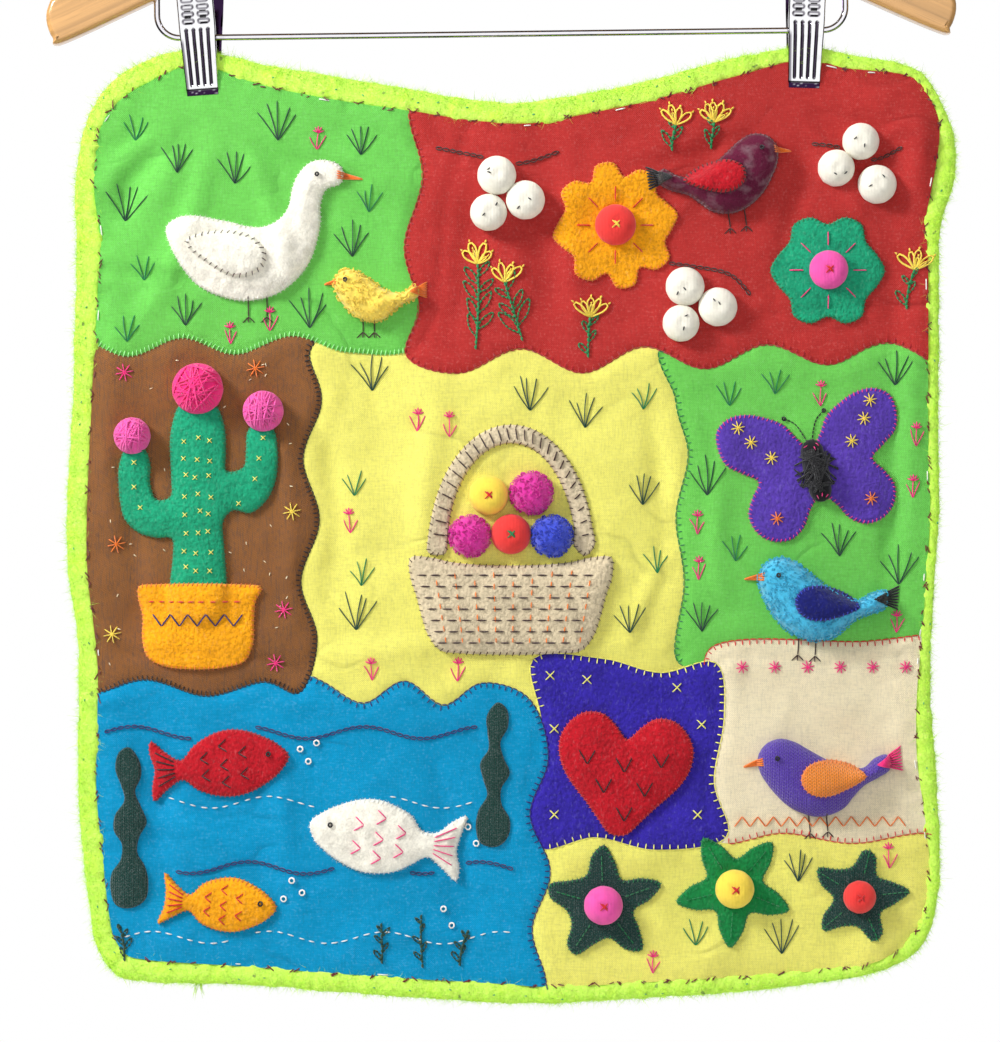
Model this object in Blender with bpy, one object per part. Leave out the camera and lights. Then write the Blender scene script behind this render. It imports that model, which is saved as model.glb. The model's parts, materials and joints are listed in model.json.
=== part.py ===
# Appliqué wall textile (arpillera) clipped to a wooden clip hanger. Metres, +Z up.
# The cloth hangs in the XZ plane and faces -Y. The origin is the point under the hook's crown
# where a rail bears. Pieces of the picture are sized in millimetres from the cloth's own centre,
# u to the right and v up, and mm() turns such lengths into metres.
import math

import bpy
import numpy as np
from mathutils import Vector
from mathutils.bvhtree import BVHTree
from mathutils.geometry import delaunay_2d_cdt

HANGER_SPAN = 0.445
ARM_THICK = 0.013
ARM_BEVEL = 0.003
NECK_TOP_Z = -0.062
ARM_TIP_Z = -0.1852
HANGER_LEAN = math.radians(0.7)

HOOK_WIRE = 0.004
HOOK_INNER_R = 0.020
HOOK_BORE_DEPTH = 0.018

BAR_WIRE = 0.0032
BAR_HALF_SPAN = 0.1686
BAR_Z = -0.1833
BAR_BEND_R = 0.011
BAR_BORE_DEPTH = 0.008

CLIP_WIDTH_TOP = 0.0178
CLIP_WIDTH_JAW = 0.0160
CLIP_JAW = 0.0285
CLIP_GRIP = 0.024
CLIP_PLATE = 0.001
CLIP_SPREAD_PIVOT = 0.0056
CLIP_SPREAD_GRIP = 0.0095
CLIP_FLANGE = 0.0034
SPRING_R = 0.0036
# Each clip's place along the bar, how far it leans from upright, and how far the top of its back plate
# stands out to the right of the front one.
CLIPS = {"left": (-0.1483, math.radians(4.3), 0.0045), "right": (0.1489, math.radians(-1.6), -0.0008)}

CLOTH_X = 0.0039
CLOTH_Z = -0.4253
CLOTH_THICK = 0.003
GAP = 0.00035
SHEET_STEP = 15.0
RIM_STEP = 12.0
PIECE_LIFT = 0.9
BALL_LIFT = 0.6
# How far round each of its points a piece that overlies another looks for that one's edge.
EDGE_REACH = 5.0

EDGING_INNER = 0.0020
EDGING_CREST = 0.0026
EDGING_OUTER = 0.0013

# The cloth's edge, clockwise from the left clip: u, v, and the width of the edging there, all in mm.
EDGE = [
    (-151, 227, 6.5), (-120, 217, 9), (-86, 210, 10.5), (-46, 204, 9.5), (-12, 199, 9), (12, 198, 9.5),
    (47, 204, 9), (78, 211, 8.5), (113, 221, 8), (145, 229, 5.5), (167, 225, 6), (197, 221.5, 3.5),
    (206, 213, 3.2), (212, 201, 3.5), (212, 186, 7.5), (209, 168, 9), (206, 151, 6.5), (207, 127, 4.5),
    (207, 49, 4), (208, 10, 3.6), (206, -25, 3.2), (204, -54, 3.6), (201.5, -80, 5.5), (201.5, -112, 8),
    (205, -138, 6), (208, -167, 4), (205, -189, 4), (198, -203, 4.4), (184, -211, 4), (168, -215, 4),
    (128, -218.5, 6), (95, -220.5, 6.5), (25, -224, 7), (-3, -222.5, 8.3), (-71, -218.5, 8), (-131, -214, 8),
    (-176, -211, 10), (-188, -206, 9.5), (-193, -192, 8.3), (-198, -150, 8.3), (-200, -122, 8),
    (-199, -74, 8.3), (-201, -49, 7.5), (-204, -24, 8.3), (-204.5, 5, 9), (-202, 64, 8.4), (-199, 120, 10),
    (-198, 140, 10.5), (-200.5, 160, 9), (-201, 179, 7), (-198, 196, 6.5), (-192, 206, 7.5), (-182, 214, 9),
    (-168, 221, 9),
]

# The main folds: start and end, sideways bow of the line between them, half width, and height towards
# the viewer, which is negative in a trough. All in mm.
FOLDS = {
    "clip_left_ridge": ((-154, 200), (-182, 150), 0, 13, 3.2),
    "clip_left_trough": ((-168, 214), (-196, 176), 0, 9, -2.6),
    "swag_ridge": ((-140, 208), (140, 210), -46, 15, 3.2),
    "swag_trough": ((-120, 185), (125, 186), -40, 12, -1.8),
    "centre_ridge": ((0, 196), (7, 104), 0, 10, 3.0),
    "centre_trough": ((20, 194), (22, 92), 0, 9, -2.2),
    "corner_ridge": ((160, 214), (200, 190), 6, 9, 4.6),
    "corner_drop": ((202, 206), (203, 160), 0, 9, 4.2),
    "side_trough": ((188, 150), (190, 50), 4, 9, -2.4),
    "side_ridge": ((201, 122), (197, 30), 0, 9, 2.8),
    "left_side_ridge": ((-189, 98), (-186, -20), -3, 10, 2.4),
    "left_corner_ridge": ((-184, -181), (-150, -206), 0, 9, 2.8),
    "foot_ridge_middle": ((92, -224), (112, -196), 0, 9, 2.4),
    "foot_ridge_right": ((166, -220), (188, -198), 0, 9, 2.8),
    "lower_right_ridge": ((60, -160), (104, -146), 3, 10, 2.2),
    "middle_trough": ((-76, 113), (-61, 5), 5, 13, -2.0),
    "middle_ridge": ((50, 24), (46, -58), 0, 14, 2.4),
}
BILLOW = 4.0
# Folds fade out between these distances from a clip's jaws, where the cloth is pinched flat.
PINCH_FLAT = 13.0
PINCH_FREE = 42.0
JAW_POINTS = ((-150, 213), (145, 217))


def mm(value):
    return value / 1000.0


def material(name, colour, roughness, metallic=0.0):
    """A Principled BSDF of one colour."""
    found = bpy.data.materials.get(name)
    if found:
        return found
    made = bpy.data.materials.new(name)
    made.use_nodes = True
    shader = made.node_tree.nodes["Principled BSDF"]
    shader.inputs["Base Color"].default_value = (*colour, 1)
    shader.inputs["Roughness"].default_value = roughness
    shader.inputs["Metallic"].default_value = metallic
    return made


def add_object(name, verts, faces, mat, smooth=True):
    mesh = bpy.data.meshes.new(name)
    mesh.from_pydata([tuple(v) for v in verts], [], [tuple(f) for f in faces])
    mesh.materials.append(mat)
    if smooth:
        mesh.shade_smooth()
        mesh.set_sharp_from_angle(angle=math.radians(40))
    made = bpy.data.objects.new(name, mesh)
    bpy.context.scene.collection.objects.link(made)
    return made


def modifier(obj, kind, name, **settings):
    made = obj.modifiers.new(name, kind)
    for key, value in settings.items():
        setattr(made, key, value)
    return made


def spline(points, step, closed=True):
    """Points about step apart along a smooth curve through these points, of any number of columns."""
    rows = np.array(points, float)
    count = len(rows)
    spans = count if closed else count - 1
    fine = []
    for i in range(spans):
        if closed:
            a, b, c, d = (rows[(i + k - 1) % count] for k in range(4))
        else:
            a, b, c, d = (rows[min(max(i + k - 1, 0), count - 1)] for k in range(4))
        for t in np.linspace(0, 1, 16, endpoint=False):
            fine.append(0.5 * (2 * b + (c - a) * t + (2 * a - 5 * b + 4 * c - d) * t**2
                               + (3 * b - a - 3 * c + d) * t**3))
    fine.append(fine[0] if closed else rows[-1])
    fine = np.array(fine)
    along = np.concatenate([[0], np.cumsum(np.linalg.norm(np.diff(fine[:, :2], axis=0), axis=1))])
    steps = max(6, round(along[-1] / step))
    at = np.linspace(0, along[-1], steps + 1)[: steps if closed else None]
    return np.stack([np.interp(at, along, fine[:, k]) for k in range(rows.shape[1])], axis=1)


def distance_to_line(points, line):
    """How far each point is from an open line of points, and how far along the line its nearest place is."""
    best = np.full(len(points), np.inf)
    place = np.zeros(len(points))
    spans = len(line) - 1
    for i in range(spans):
        a, d = line[i], line[i + 1] - line[i]
        t = np.clip(((points - a) @ d) / max(d @ d, 1e-12), 0, 1)
        away = np.linalg.norm(points - a - t[:, None] * d, axis=1)
        closer = away < best
        best[closer] = away[closer]
        place[closer] = (i + t[closer]) / spans
    return best, place


def smoothstep(x):
    x = np.clip(x, 0, 1)
    return x * x * (3 - 2 * x)


def fold_height(points):
    """How far the cloth stands towards the viewer at each (u, v), in mm."""
    points = np.atleast_2d(np.array(points, float))
    height = BILLOW * np.cos(points[:, 0] / 150) * smoothstep((190 - points[:, 1]) / 260)
    for start, end, bow, half_width, rise in FOLDS.values():
        start, end = np.array(start, float), np.array(end, float)
        side = np.array([-(end - start)[1], (end - start)[0]])
        side = side / np.linalg.norm(side)
        line = np.array([start + (end - start) * t + side * bow * 4 * t * (1 - t)
                         for t in np.linspace(0, 1, 13)])
        away, place = distance_to_line(points, line)
        fade = 0.35 + 0.65 * np.sin(np.pi * np.clip(place, 0.02, 0.98))
        height += rise * fade * np.exp(-((away / half_width) ** 2))
    for jaw in JAW_POINTS:
        away = np.linalg.norm(points - np.array(jaw), axis=1)
        height *= smoothstep((away - PINCH_FLAT) / (PINCH_FREE - PINCH_FLAT))
    return height


def place(u, v, towards_viewer):
    """The point at (u, v) on the cloth's plane, that many mm towards the viewer."""
    return Vector((CLOTH_X + mm(u), -mm(towards_viewer), CLOTH_Z + mm(v)))


def is_inside(points, outline):
    """Which points lie inside a closed outline."""
    crossings = np.zeros(len(points), int)
    for a, b in zip(outline, np.roll(outline, -1, axis=0)):
        if a[1] == b[1]:
            continue
        spans = (a[1] > points[:, 1]) != (b[1] > points[:, 1])
        at = a[0] + (points[:, 1] - a[1]) * (b[0] - a[0]) / (b[1] - a[1])
        crossings += spans & (points[:, 0] < at)
    return crossings % 2 == 1


def inner_points(outline, step):
    """Staggered points inside a closed outline, a little away from it."""
    low, high = outline.min(0), outline.max(0)
    rows = np.arange(low[1] + step * 0.45, high[1], step * 0.87)
    found = [(u + (k % 2) * step / 2, v) for k, v in enumerate(rows)
             for u in np.arange(low[0], high[0], step)]
    found = np.array(found).reshape(-1, 2)
    found = found[is_inside(found, outline)]
    away, _ = distance_to_line(found, np.vstack([outline, outline[:1]]))
    return found[away > step * 0.45]


def filled(outline, step):
    """Triangles over a closed outline, with inner points step apart: (points, triangles)."""
    flat = np.vstack([outline, inner_points(outline, step)])
    count = len(outline)
    edges = [(i, (i + 1) % count) for i in range(count)]
    points, _, faces, _, _, _ = delaunay_2d_cdt([Vector(p) for p in flat], edges, [], 0, 1e-6, False)
    points, faces = np.array([tuple(p) for p in points]), np.array(faces)
    faces = faces[is_inside(points[faces].mean(axis=1), outline)]
    return points, [tuple(int(i) for i in f) for f in faces]


def solid_between(name, outline, step, front, back, mat):
    """A closed solid over an outline in mm. front and back give the mm towards the viewer at each (u, v)."""
    points, faces = filled(outline, step)
    near, far = front(points), back(points)
    total = len(points)
    verts = [place(u, v, h) for (u, v), h in zip(points, near)]
    verts += [place(u, v, h) for (u, v), h in zip(points, far)]
    area = sum(
        (points[b][0] - points[a][0]) * (points[c][1] - points[a][1])
        - (points[c][0] - points[a][0]) * (points[b][1] - points[a][1]) for a, b, c in faces)
    if area < 0:
        faces = [f[::-1] for f in faces]
    solid = [tuple(f) for f in faces] + [tuple(i + total for i in f[::-1]) for f in faces]
    ends = {}
    for f in faces:
        for a, b in zip(f, f[1:] + f[:1]):
            if ends.pop((b, a), None) is None:
                ends[(a, b)] = True
    for a, b in ends:
        solid += [(b, a, a + total), (b, a + total, b + total)]
    return add_object(name, verts, solid, mat)


def tree_of(obj):
    mesh = obj.data
    return BVHTree.FromPolygons([v.co for v in mesh.vertices], [tuple(p.vertices) for p in mesh.polygons])


def surface_height(points, carriers, reach):
    """How far what carries a piece stands towards the viewer within reach of each (u, v), in mm."""
    around = [(0, 0)] + [(reach * math.cos(a), reach * math.sin(a)) for a in np.linspace(0, 5.5, 8)]
    found = []
    for u, v in points:
        heights = []
        for du, dv in around if reach else around[:1]:
            start = place(u + du, v + dv, 90)
            hits = [tree.ray_cast(start, Vector((0, 1, 0)))[0] for tree in carriers]
            heights += [-1000 * hit.y for hit in hits if hit is not None]
        found.append(max(heights) if heights else np.nan)
    found = np.array(found)
    if np.isnan(found).all():
        raise ValueError("a piece lies off what carries it")
    found[np.isnan(found)] = np.nanmin(found)
    return found


def build_hanger(parent):
    """The two wooden arms in one piece, bored for the hook and for the ends of the clip bar."""
    half = HANGER_SPAN / 2
    upper = [(0.0, NECK_TOP_Z), (0.013, NECK_TOP_Z - 0.001), (0.024, NECK_TOP_Z - 0.009), (0.045, -0.083),
             (0.090, -0.101), (0.140, -0.123), (0.185, -0.145), (half - 0.006, -0.162)]
    tip = [(half - 0.001, -0.1675), (half, -0.175), (half - 0.003, ARM_TIP_Z + 0.002),
           (half - 0.008, ARM_TIP_Z)]
    lower = [(0.170, -0.1655), (0.130, -0.148), (0.080, -0.128), (0.040, -0.115), (0.014, -0.108),
             (0.0, -0.1065)]
    right = upper + tip + lower
    outline = right + [(-x, z) for x, z in right[-2:0:-1]]
    count = len(outline)
    verts = [(x, -ARM_THICK / 2, z) for x, z in outline] + [(x, ARM_THICK / 2, z) for x, z in outline]
    faces = [tuple(range(count))[::-1], tuple(range(count, 2 * count))]
    faces += [(i, (i + 1) % count, (i + 1) % count + count, i + count) for i in range(count)]
    arms = add_object("hanger_arms", verts, faces, material("beech", (0.72, 0.47, 0.22), 0.35))
    modifier(arms, "BEVEL", "rounded_edges", width=ARM_BEVEL, segments=2, limit_method="ANGLE",
             angle_limit=math.radians(60))
    bores = [(0.0, NECK_TOP_Z - HOOK_BORE_DEPTH / 2 + 0.002, HOOK_WIRE / 2 + GAP, HOOK_BORE_DEPTH + 0.004)]
    for side in (-1, 1):
        length = BAR_BORE_DEPTH + 0.010
        low = -0.1650 - 0.010
        bores.append((side * BAR_HALF_SPAN, low + length / 2, BAR_WIRE / 2 + GAP, length))
    for number, (x, z, radius, depth) in enumerate(bores):
        bpy.ops.mesh.primitive_cylinder_add(vertices=12, radius=radius, depth=depth, location=(x, 0, z))
        cutter = bpy.context.object
        cutter.name = f"bore_{number}"
        cutter.hide_render = True
        cutter.display_type = "WIRE"
        cutter.parent = parent
        modifier(arms, "BOOLEAN", cutter.name, object=cutter, operation="DIFFERENCE", solver="EXACT")
    arms.parent = parent


def wire(name, points, thick, sides, mat, parent):
    """A round wire along a list of points."""
    curve = bpy.data.curves.new(name, "CURVE")
    curve.dimensions = "3D"
    curve.bevel_depth = thick / 2
    curve.bevel_resolution = sides
    curve.use_fill_caps = True
    run = curve.splines.new("POLY")
    run.points.add(len(points) - 1)
    for point, (x, y, z) in zip(run.points, points):
        point.co = (x, y, z, 1)
    curve.materials.append(mat)
    made = bpy.data.objects.new(name, curve)
    bpy.context.scene.collection.objects.link(made)
    made.parent = parent
    return made


def build_hook(parent):
    """A question-mark hook: round the rail, then back over the neck and down into its bore."""
    radius = HOOK_INNER_R + HOOK_WIRE / 2
    centre_z = -HOOK_INNER_R
    turn = [math.radians(a) for a in np.linspace(205, -38, 20)]
    points = [(radius * math.cos(a), 0, centre_z + radius * math.sin(a)) for a in turn]
    start, neck = Vector(points[-1]), Vector((0, 0, NECK_TOP_Z + 0.004))
    leave = Vector((math.sin(turn[-1]), 0, -math.cos(turn[-1]))) * 0.014
    arrive = Vector((0, 0, 0.010))
    for t in np.linspace(0, 1, 9)[1:]:
        points.append(tuple((1 - t) ** 3 * start + 3 * t * (1 - t) ** 2 * (start + leave)
                            + 3 * t * t * (1 - t) * (neck + arrive) + t**3 * neck))
    points.append((0, 0, NECK_TOP_Z - HOOK_BORE_DEPTH + 0.001))
    wire("hook", points, HOOK_WIRE, 3, material("hook_steel", (0.62, 0.62, 0.64), 0.22, 1.0), parent)


def build_clip_bar(parent):
    """One wire: level between the clips, bent up at both ends into the arms."""
    top = -0.1650 + BAR_BORE_DEPTH - 0.001
    corner_x, corner_z = BAR_HALF_SPAN - BAR_BEND_R, BAR_Z + BAR_BEND_R
    bend = [math.radians(a) for a in np.linspace(180, 270, 7)]
    left = [(-BAR_HALF_SPAN, 0, top)]
    left += [(-corner_x + BAR_BEND_R * math.cos(a), 0, corner_z + BAR_BEND_R * math.sin(a)) for a in bend]
    right = [(-x, y, z) for x, y, z in left[::-1]]
    wire("clip_bar", left + right, BAR_WIRE, 2, material("bar_steel", (0.55, 0.55, 0.58), 0.2, 1.0), parent)


def clip_plate(name, side, skew, parent):
    """One bent plate of a clip in the clip's own frame: pivot at the origin, jaw down, side -1 in front."""
    jaw_y = CLOTH_THICK / 2 + GAP
    # Height, how far the inner face is from the cloth's middle, half width, and depth of the folded flange.
    rows = [
        (-CLIP_JAW, jaw_y, CLIP_WIDTH_JAW / 2, 0.0),
        (-CLIP_JAW + 0.006, jaw_y + 0.0004, CLIP_WIDTH_JAW / 2, 0.0),
        (-0.009, CLIP_SPREAD_PIVOT - 0.0012, CLIP_WIDTH_JAW / 2 + 0.0004, 0.0006),
        (-0.003, CLIP_SPREAD_PIVOT, CLIP_WIDTH_JAW / 2 + 0.0006, CLIP_FLANGE),
        (0.004, CLIP_SPREAD_PIVOT + 0.0002, CLIP_WIDTH_TOP / 2, CLIP_FLANGE),
        (0.010, CLIP_SPREAD_PIVOT + 0.0012, CLIP_WIDTH_TOP / 2, 0.0012),
        (CLIP_GRIP, CLIP_SPREAD_GRIP, CLIP_WIDTH_TOP / 2, 0.0008),
    ]
    verts, faces = [], []
    for z, inner, half, flange in rows:
        outer = inner + CLIP_PLATE
        lip = max(flange, 0.0002)
        ring = [(-half, outer), (half, outer), (half, inner - lip), (half - CLIP_PLATE, inner - lip),
                (half - CLIP_PLATE, inner), (-half + CLIP_PLATE, inner), (-half + CLIP_PLATE, inner - lip),
                (-half, inner - lip)]
        aside = skew * (z + CLIP_JAW) / (CLIP_GRIP + CLIP_JAW)
        verts += [(x + aside, side * y, z) for x, y in ring]
    size = 8
    for k in range(len(rows) - 1):
        for i in range(size):
            j = (i + 1) % size
            face = (k * size + i, k * size + j, (k + 1) * size + j, (k + 1) * size + i)
            faces.append(face if side > 0 else face[::-1])
    cap = tuple(range(size))
    top = tuple((len(rows) - 1) * size + i for i in range(size))
    faces += [cap[::-1], top] if side > 0 else [cap, top[::-1]]
    chrome = material("clip_chrome", (0.78, 0.78, 0.8), 0.12, 1.0)
    plate = add_object(name, verts, [f[::-1] for f in faces], chrome, smooth=False)
    plate.parent = parent


def build_clips(parent):
    for side, (x, lean, skew) in CLIPS.items():
        pivot = bpy.data.objects.new(f"clip_{side}_pivot", None)
        bpy.context.scene.collection.objects.link(pivot)
        pivot.location = (x, 0, BAR_Z)
        pivot.rotation_euler = (0, HANGER_LEAN - lean, 0)
        pivot.parent = parent
        clip_plate(f"clip_{side}_front", -1, 0.0, pivot)
        clip_plate(f"clip_{side}_back", 1, skew, pivot)
        bpy.ops.mesh.primitive_torus_add(major_segments=12, minor_segments=4, rotation=(0, math.pi / 2, 0),
                                         major_radius=(SPRING_R + BAR_WIRE / 2 + 2 * GAP) / 2,
                                         minor_radius=(SPRING_R - BAR_WIRE / 2 - 2 * GAP) / 2)
        spring = bpy.context.object
        spring.name = f"clip_{side}_spring"
        bpy.ops.object.transform_apply(location=False, rotation=True, scale=False)
        for vertex in spring.data.vertices:
            vertex.co.x *= 5.0
        spring.data.materials.append(material("bar_steel", (0.55, 0.55, 0.58), 0.2, 1.0))
        spring.parent = pivot


def build_cloth():
    """The layered cloth that everything is sewn to, as one sheet on its folds."""
    half = CLOTH_THICK * 500
    outline = spline([row[:2] for row in EDGE], RIM_STEP)
    return solid_between("backing_cloth", outline, SHEET_STEP, lambda p: fold_height(p) + half,
                         lambda p: fold_height(p) - half, material("backing_cotton", (0.85, 0.83, 0.76), 0.9))


def build_edging():
    """The brushed yarn edging round the cloth: a closed strip, thickest in the middle of its width."""
    rows = spline(EDGE, RIM_STEP)
    line, widths = rows[:, :2], rows[:, 2]
    ahead = np.roll(line, -1, axis=0) - np.roll(line, 1, axis=0)
    out = np.stack([-ahead[:, 1], ahead[:, 0]], axis=1)
    out /= np.linalg.norm(out, axis=1)[:, None]
    gap = GAP * 1000 * 1.3
    section = [(0.0, EDGING_INNER), (0.45, EDGING_CREST), (1.0, EDGING_OUTER), (1.0, -EDGING_OUTER),
               (0.45, -EDGING_CREST), (0.0, -EDGING_INNER)]
    base = fold_height(line)
    verts = []
    for point, width, normal, height in zip(line, widths, out, base):
        for share, rise in section:
            u, v = point + normal * (gap + share * width)
            verts.append(place(u, v, height + rise * 1000))
    size, count = len(section), len(line)
    faces = []
    for k in range(count):
        for i in range(size):
            a, b = k * size + i, k * size + (i + 1) % size
            c, d = (k + 1) % count * size + (i + 1) % size, (k + 1) % count * size + i
            faces += [(a, c, b), (a, d, c)]
    return add_object("edging", verts, faces, material("neon_yarn", (0.55, 0.95, 0.08), 0.95))


def turned(points, angle, centre, scale=1.0, flip=False):
    """An outline in its own mm, turned by degrees and moved to a centre."""
    rows = np.array(points, float) * scale
    if flip:
        rows[:, 0] *= -1
        rows = rows[::-1]
    c, s = math.cos(math.radians(angle)), math.sin(math.radians(angle))
    return rows @ np.array([[c, s], [-s, c]]) + np.array(centre, float)


def round_outline(radius_u, radius_v, count=12):
    angles = np.linspace(0, 2 * math.pi, count, False)
    return [(radius_u * math.cos(a), radius_v * math.sin(a)) for a in angles]


def petal_outline(radius, petals, notch, per_petal=5):
    """A flower of round petals: notch is how far in the gaps between petals come, as a share."""
    angles = np.linspace(0, 2 * math.pi, petals * per_petal, False)
    return [(radius * (1 - notch * (1 - abs(math.cos(petals * a / 2))) ** 1.5) * math.cos(a),
             radius * (1 - notch * (1 - abs(math.cos(petals * a / 2))) ** 1.5) * math.sin(a)) for a in angles]


def leaf_star_outline(radius, points, waist):
    """A star of pointed leaves, as felt is cut round a ball of fruit."""
    steps = [(1.0, 0.0), (0.72, 0.24), (waist, 0.5), (0.72, 0.76)]
    turn = 2 * math.pi / points
    return [(radius * r * math.cos((k + t) * turn), radius * r * math.sin((k + t) * turn))
            for k in range(points) for r, t in steps]


GOOSE = [(-39, 8), (-30, 13), (-14, 11), (2, 8), (13, 14), (17, 28), (23, 36), (33, 37), (39, 32), (36, 26),
         (29, 23), (28, 8), (23, -8), (11, -20), (-6, -24), (-24, -18), (-34, -6)]
WING = [(-20, 3), (-8, 9), (6, 9), (15, 3), (14, -6), (4, -10), (-8, -6)]
BIRD = [(-32, 10), (-22, 4), (-12, 6), (-2, 12), (8, 19), (17, 21), (24, 16), (25, 8), (20, -2), (12, -11),
        (0, -16), (-12, -13), (-20, -5), (-34, 2)]
FISH = [(33, 1), (24, 10), (8, 16), (-8, 12), (-18, 4), (-32, 15), (-30, 0), (-33, -14), (-18, -5), (-8, -12),
        (8, -15), (24, -9)]
HEART = [(0, 13), (8, 21), (18, 21), (25, 12), (23, 0), (12, -13), (0, -24), (-12, -13), (-23, 0), (-25, 12),
         (-18, 21), (-8, 21)]
CACTUS = [(-11, -45), (-11, -14), (-21, -13), (-31, -6), (-34, 8), (-33, 22), (-27, 27), (-21, 22),
          (-20, 6), (-12, 4), (-12, 30), (-8, 44), (0, 48), (8, 44), (12, 30), (12, 16), (20, 18), (21, 32),
          (27, 38),
          (33, 32), (34, 16), (30, 4), (21, -3), (11, -4), (11, -45)]
POT = [(-26, 17), (26, 17), (25, 8), (20, -17), (-20, -17), (-25, 8)]
BASKET = [(-50, 20), (-25, 17), (0, 16), (25, 17), (50, 20), (47, 0), (38, -24), (20, -28), (-20, -28),
          (-38, -24), (-47, 0)]
BUTTERFLY = [(0, 9), (10, 22), (26, 29), (37, 24), (36, 10), (24, 0), (31, -10), (27, -23), (13, -25),
             (3, -12), (-3, -12), (-13, -25), (-27, -23), (-31, -10), (-24, 0), (-36, 10), (-37, 24),
             (-26, 29), (-10, 22)]
WEED = [(-6, -38), (7, -38), (10, -24), (5, -10), (11, 2), (6, 16), (10, 28), (2, 40), (-3, 28), (1, 14),
        (-6, 2), (-1, -12), (-8, -24)]
HANDLE_HALF_WIDTH = 4.5
HANDLE_REACH = 36.0
HANDLE_RISE = 58.0


def handle_outline():
    """The arched band of the basket's handle."""
    outer, inner = [], []
    for a in [math.radians(d) for d in np.linspace(180, 0, 15)]:
        c, s = math.cos(a), math.sin(a)
        outer.append(((HANDLE_REACH + HANDLE_HALF_WIDTH) * c, (HANDLE_RISE + HANDLE_HALF_WIDTH) * s))
        inner.append(((HANDLE_REACH - HANDLE_HALF_WIDTH) * c, (HANDLE_RISE - HANDLE_HALF_WIDTH) * s))
    return outer + inner[::-1]


# Every piece sewn on: outline, centre (u, v), turn in degrees, scale, flipped or not, step between the
# solid's points, height at its edge, crown above that, and the piece that carries it besides the cloth.
PIECES = {
    "goose_body": (GOOSE, (-122, 138), 0, 1.12, False, 11, 1.4, 5.0, None, "white_fleece"),
    "goose_wing": (WING, (-134, 134), -6, 1.1, False, 10, 1.0, 3.0, "goose_body", "white_fleece"),
    "gold_flower": (
        petal_outline(31, 8, 0.24, 4), (54, 148), 10, 1.0, False, 12, 1.2, 1.2, None, "gold_felt"),
    "jade_flower": (
        petal_outline(28, 6, 0.30, 5), (158, 126), 0, 1.0, False, 12, 1.2, 1.2, None, "jade_felt"),
    "maroon_bird_body": (BIRD, (110, 170), 8, 1.0, False, 10, 2.0, 9.0, None, "maroon_felt"),
    "maroon_bird_wing": (WING, (104, 171), 14, 0.85, False, 9, 1.0, 2.4, "maroon_bird_body", "maroon_felt"),
    "cactus": (CACTUS, (-150, 10), 0, 1.14, False, 12, 1.4, 3.2, None, "jade_felt"),
    "flower_pot": (POT, (-150, -47), 0, 1.1, False, 13, 1.4, 3.0, "cactus", "gold_felt"),
    "basket": (BASKET, (3, -34), 0, 0.98, False, 13, 1.6, 4.2, None, "cream_felt"),
    "basket_handle": (handle_outline(), (3, -12), 0, 1.0, False, 12, 1.6, 1.0, None, "cream_felt"),
    "butterfly_wings": (BUTTERFLY, (152, 28), 12, 1.18, False, 12, 1.2, 1.4, None, "violet_felt"),
    "turquoise_bird_body": (BIRD, (150, -38), -4, 1.06, True, 10, 2.0, 10.0, None, "turquoise_terry"),
    "turquoise_bird_wing": (
        WING, (155, -37), -12, 0.9, True, 9, 1.0, 2.6, "turquoise_bird_body", "black_yarn"),
    "red_fish": (FISH, (-140, -116), 6, 1.05, False, 12, 1.4, 3.4, None, "red_felt"),
    "white_fish": (FISH, (-58, -152), -8, 1.16, True, 12, 1.4, 4.2, None, "white_fleece"),
    "gold_fish": (FISH, (-140, -184), -5, 0.86, False, 11, 1.4, 3.0, None, "gold_felt"),
    "weed_left": (WEED, (-186, -146), 3, 1.0, False, 11, 1.2, 0.8, None, "dark_green_felt"),
    "weed_right": (WEED, (-3, -120), -5, 0.9, True, 11, 1.2, 0.8, None, "dark_green_felt"),
    "heart": (HEART, (58, -120), -6, 1.3, False, 12, 1.4, 4.0, None, "red_felt"),
    "violet_bird_body": (BIRD, (152, -124), 6, 1.08, True, 10, 2.0, 10.0, None, "violet_knit"),
    "violet_bird_wing": (WING, (158, -122), -4, 0.9, True, 9, 1.0, 2.6, "violet_bird_body", "orange_knit"),
    "leaf_star_one": (
        leaf_star_outline(30, 5, 0.5), (48, -184), 20, 1.0, False, 13, 1.2, 0.8, None, "dark_green_felt"),
    "leaf_star_two": (
        leaf_star_outline(29, 5, 0.5), (112, -176), 50, 1.0, False, 13, 1.2, 0.8, None, "dark_green_felt"),
    "leaf_star_three": (
        leaf_star_outline(25, 5, 0.5), (173, -180), 5, 1.0, False, 13, 1.2, 0.8, None, "dark_green_felt"),
    "cream_chick_body": (BIRD, (-66, 112), 0, 0.7, True, 9, 1.6, 7.0, None, "cream_knit"),
}

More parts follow.
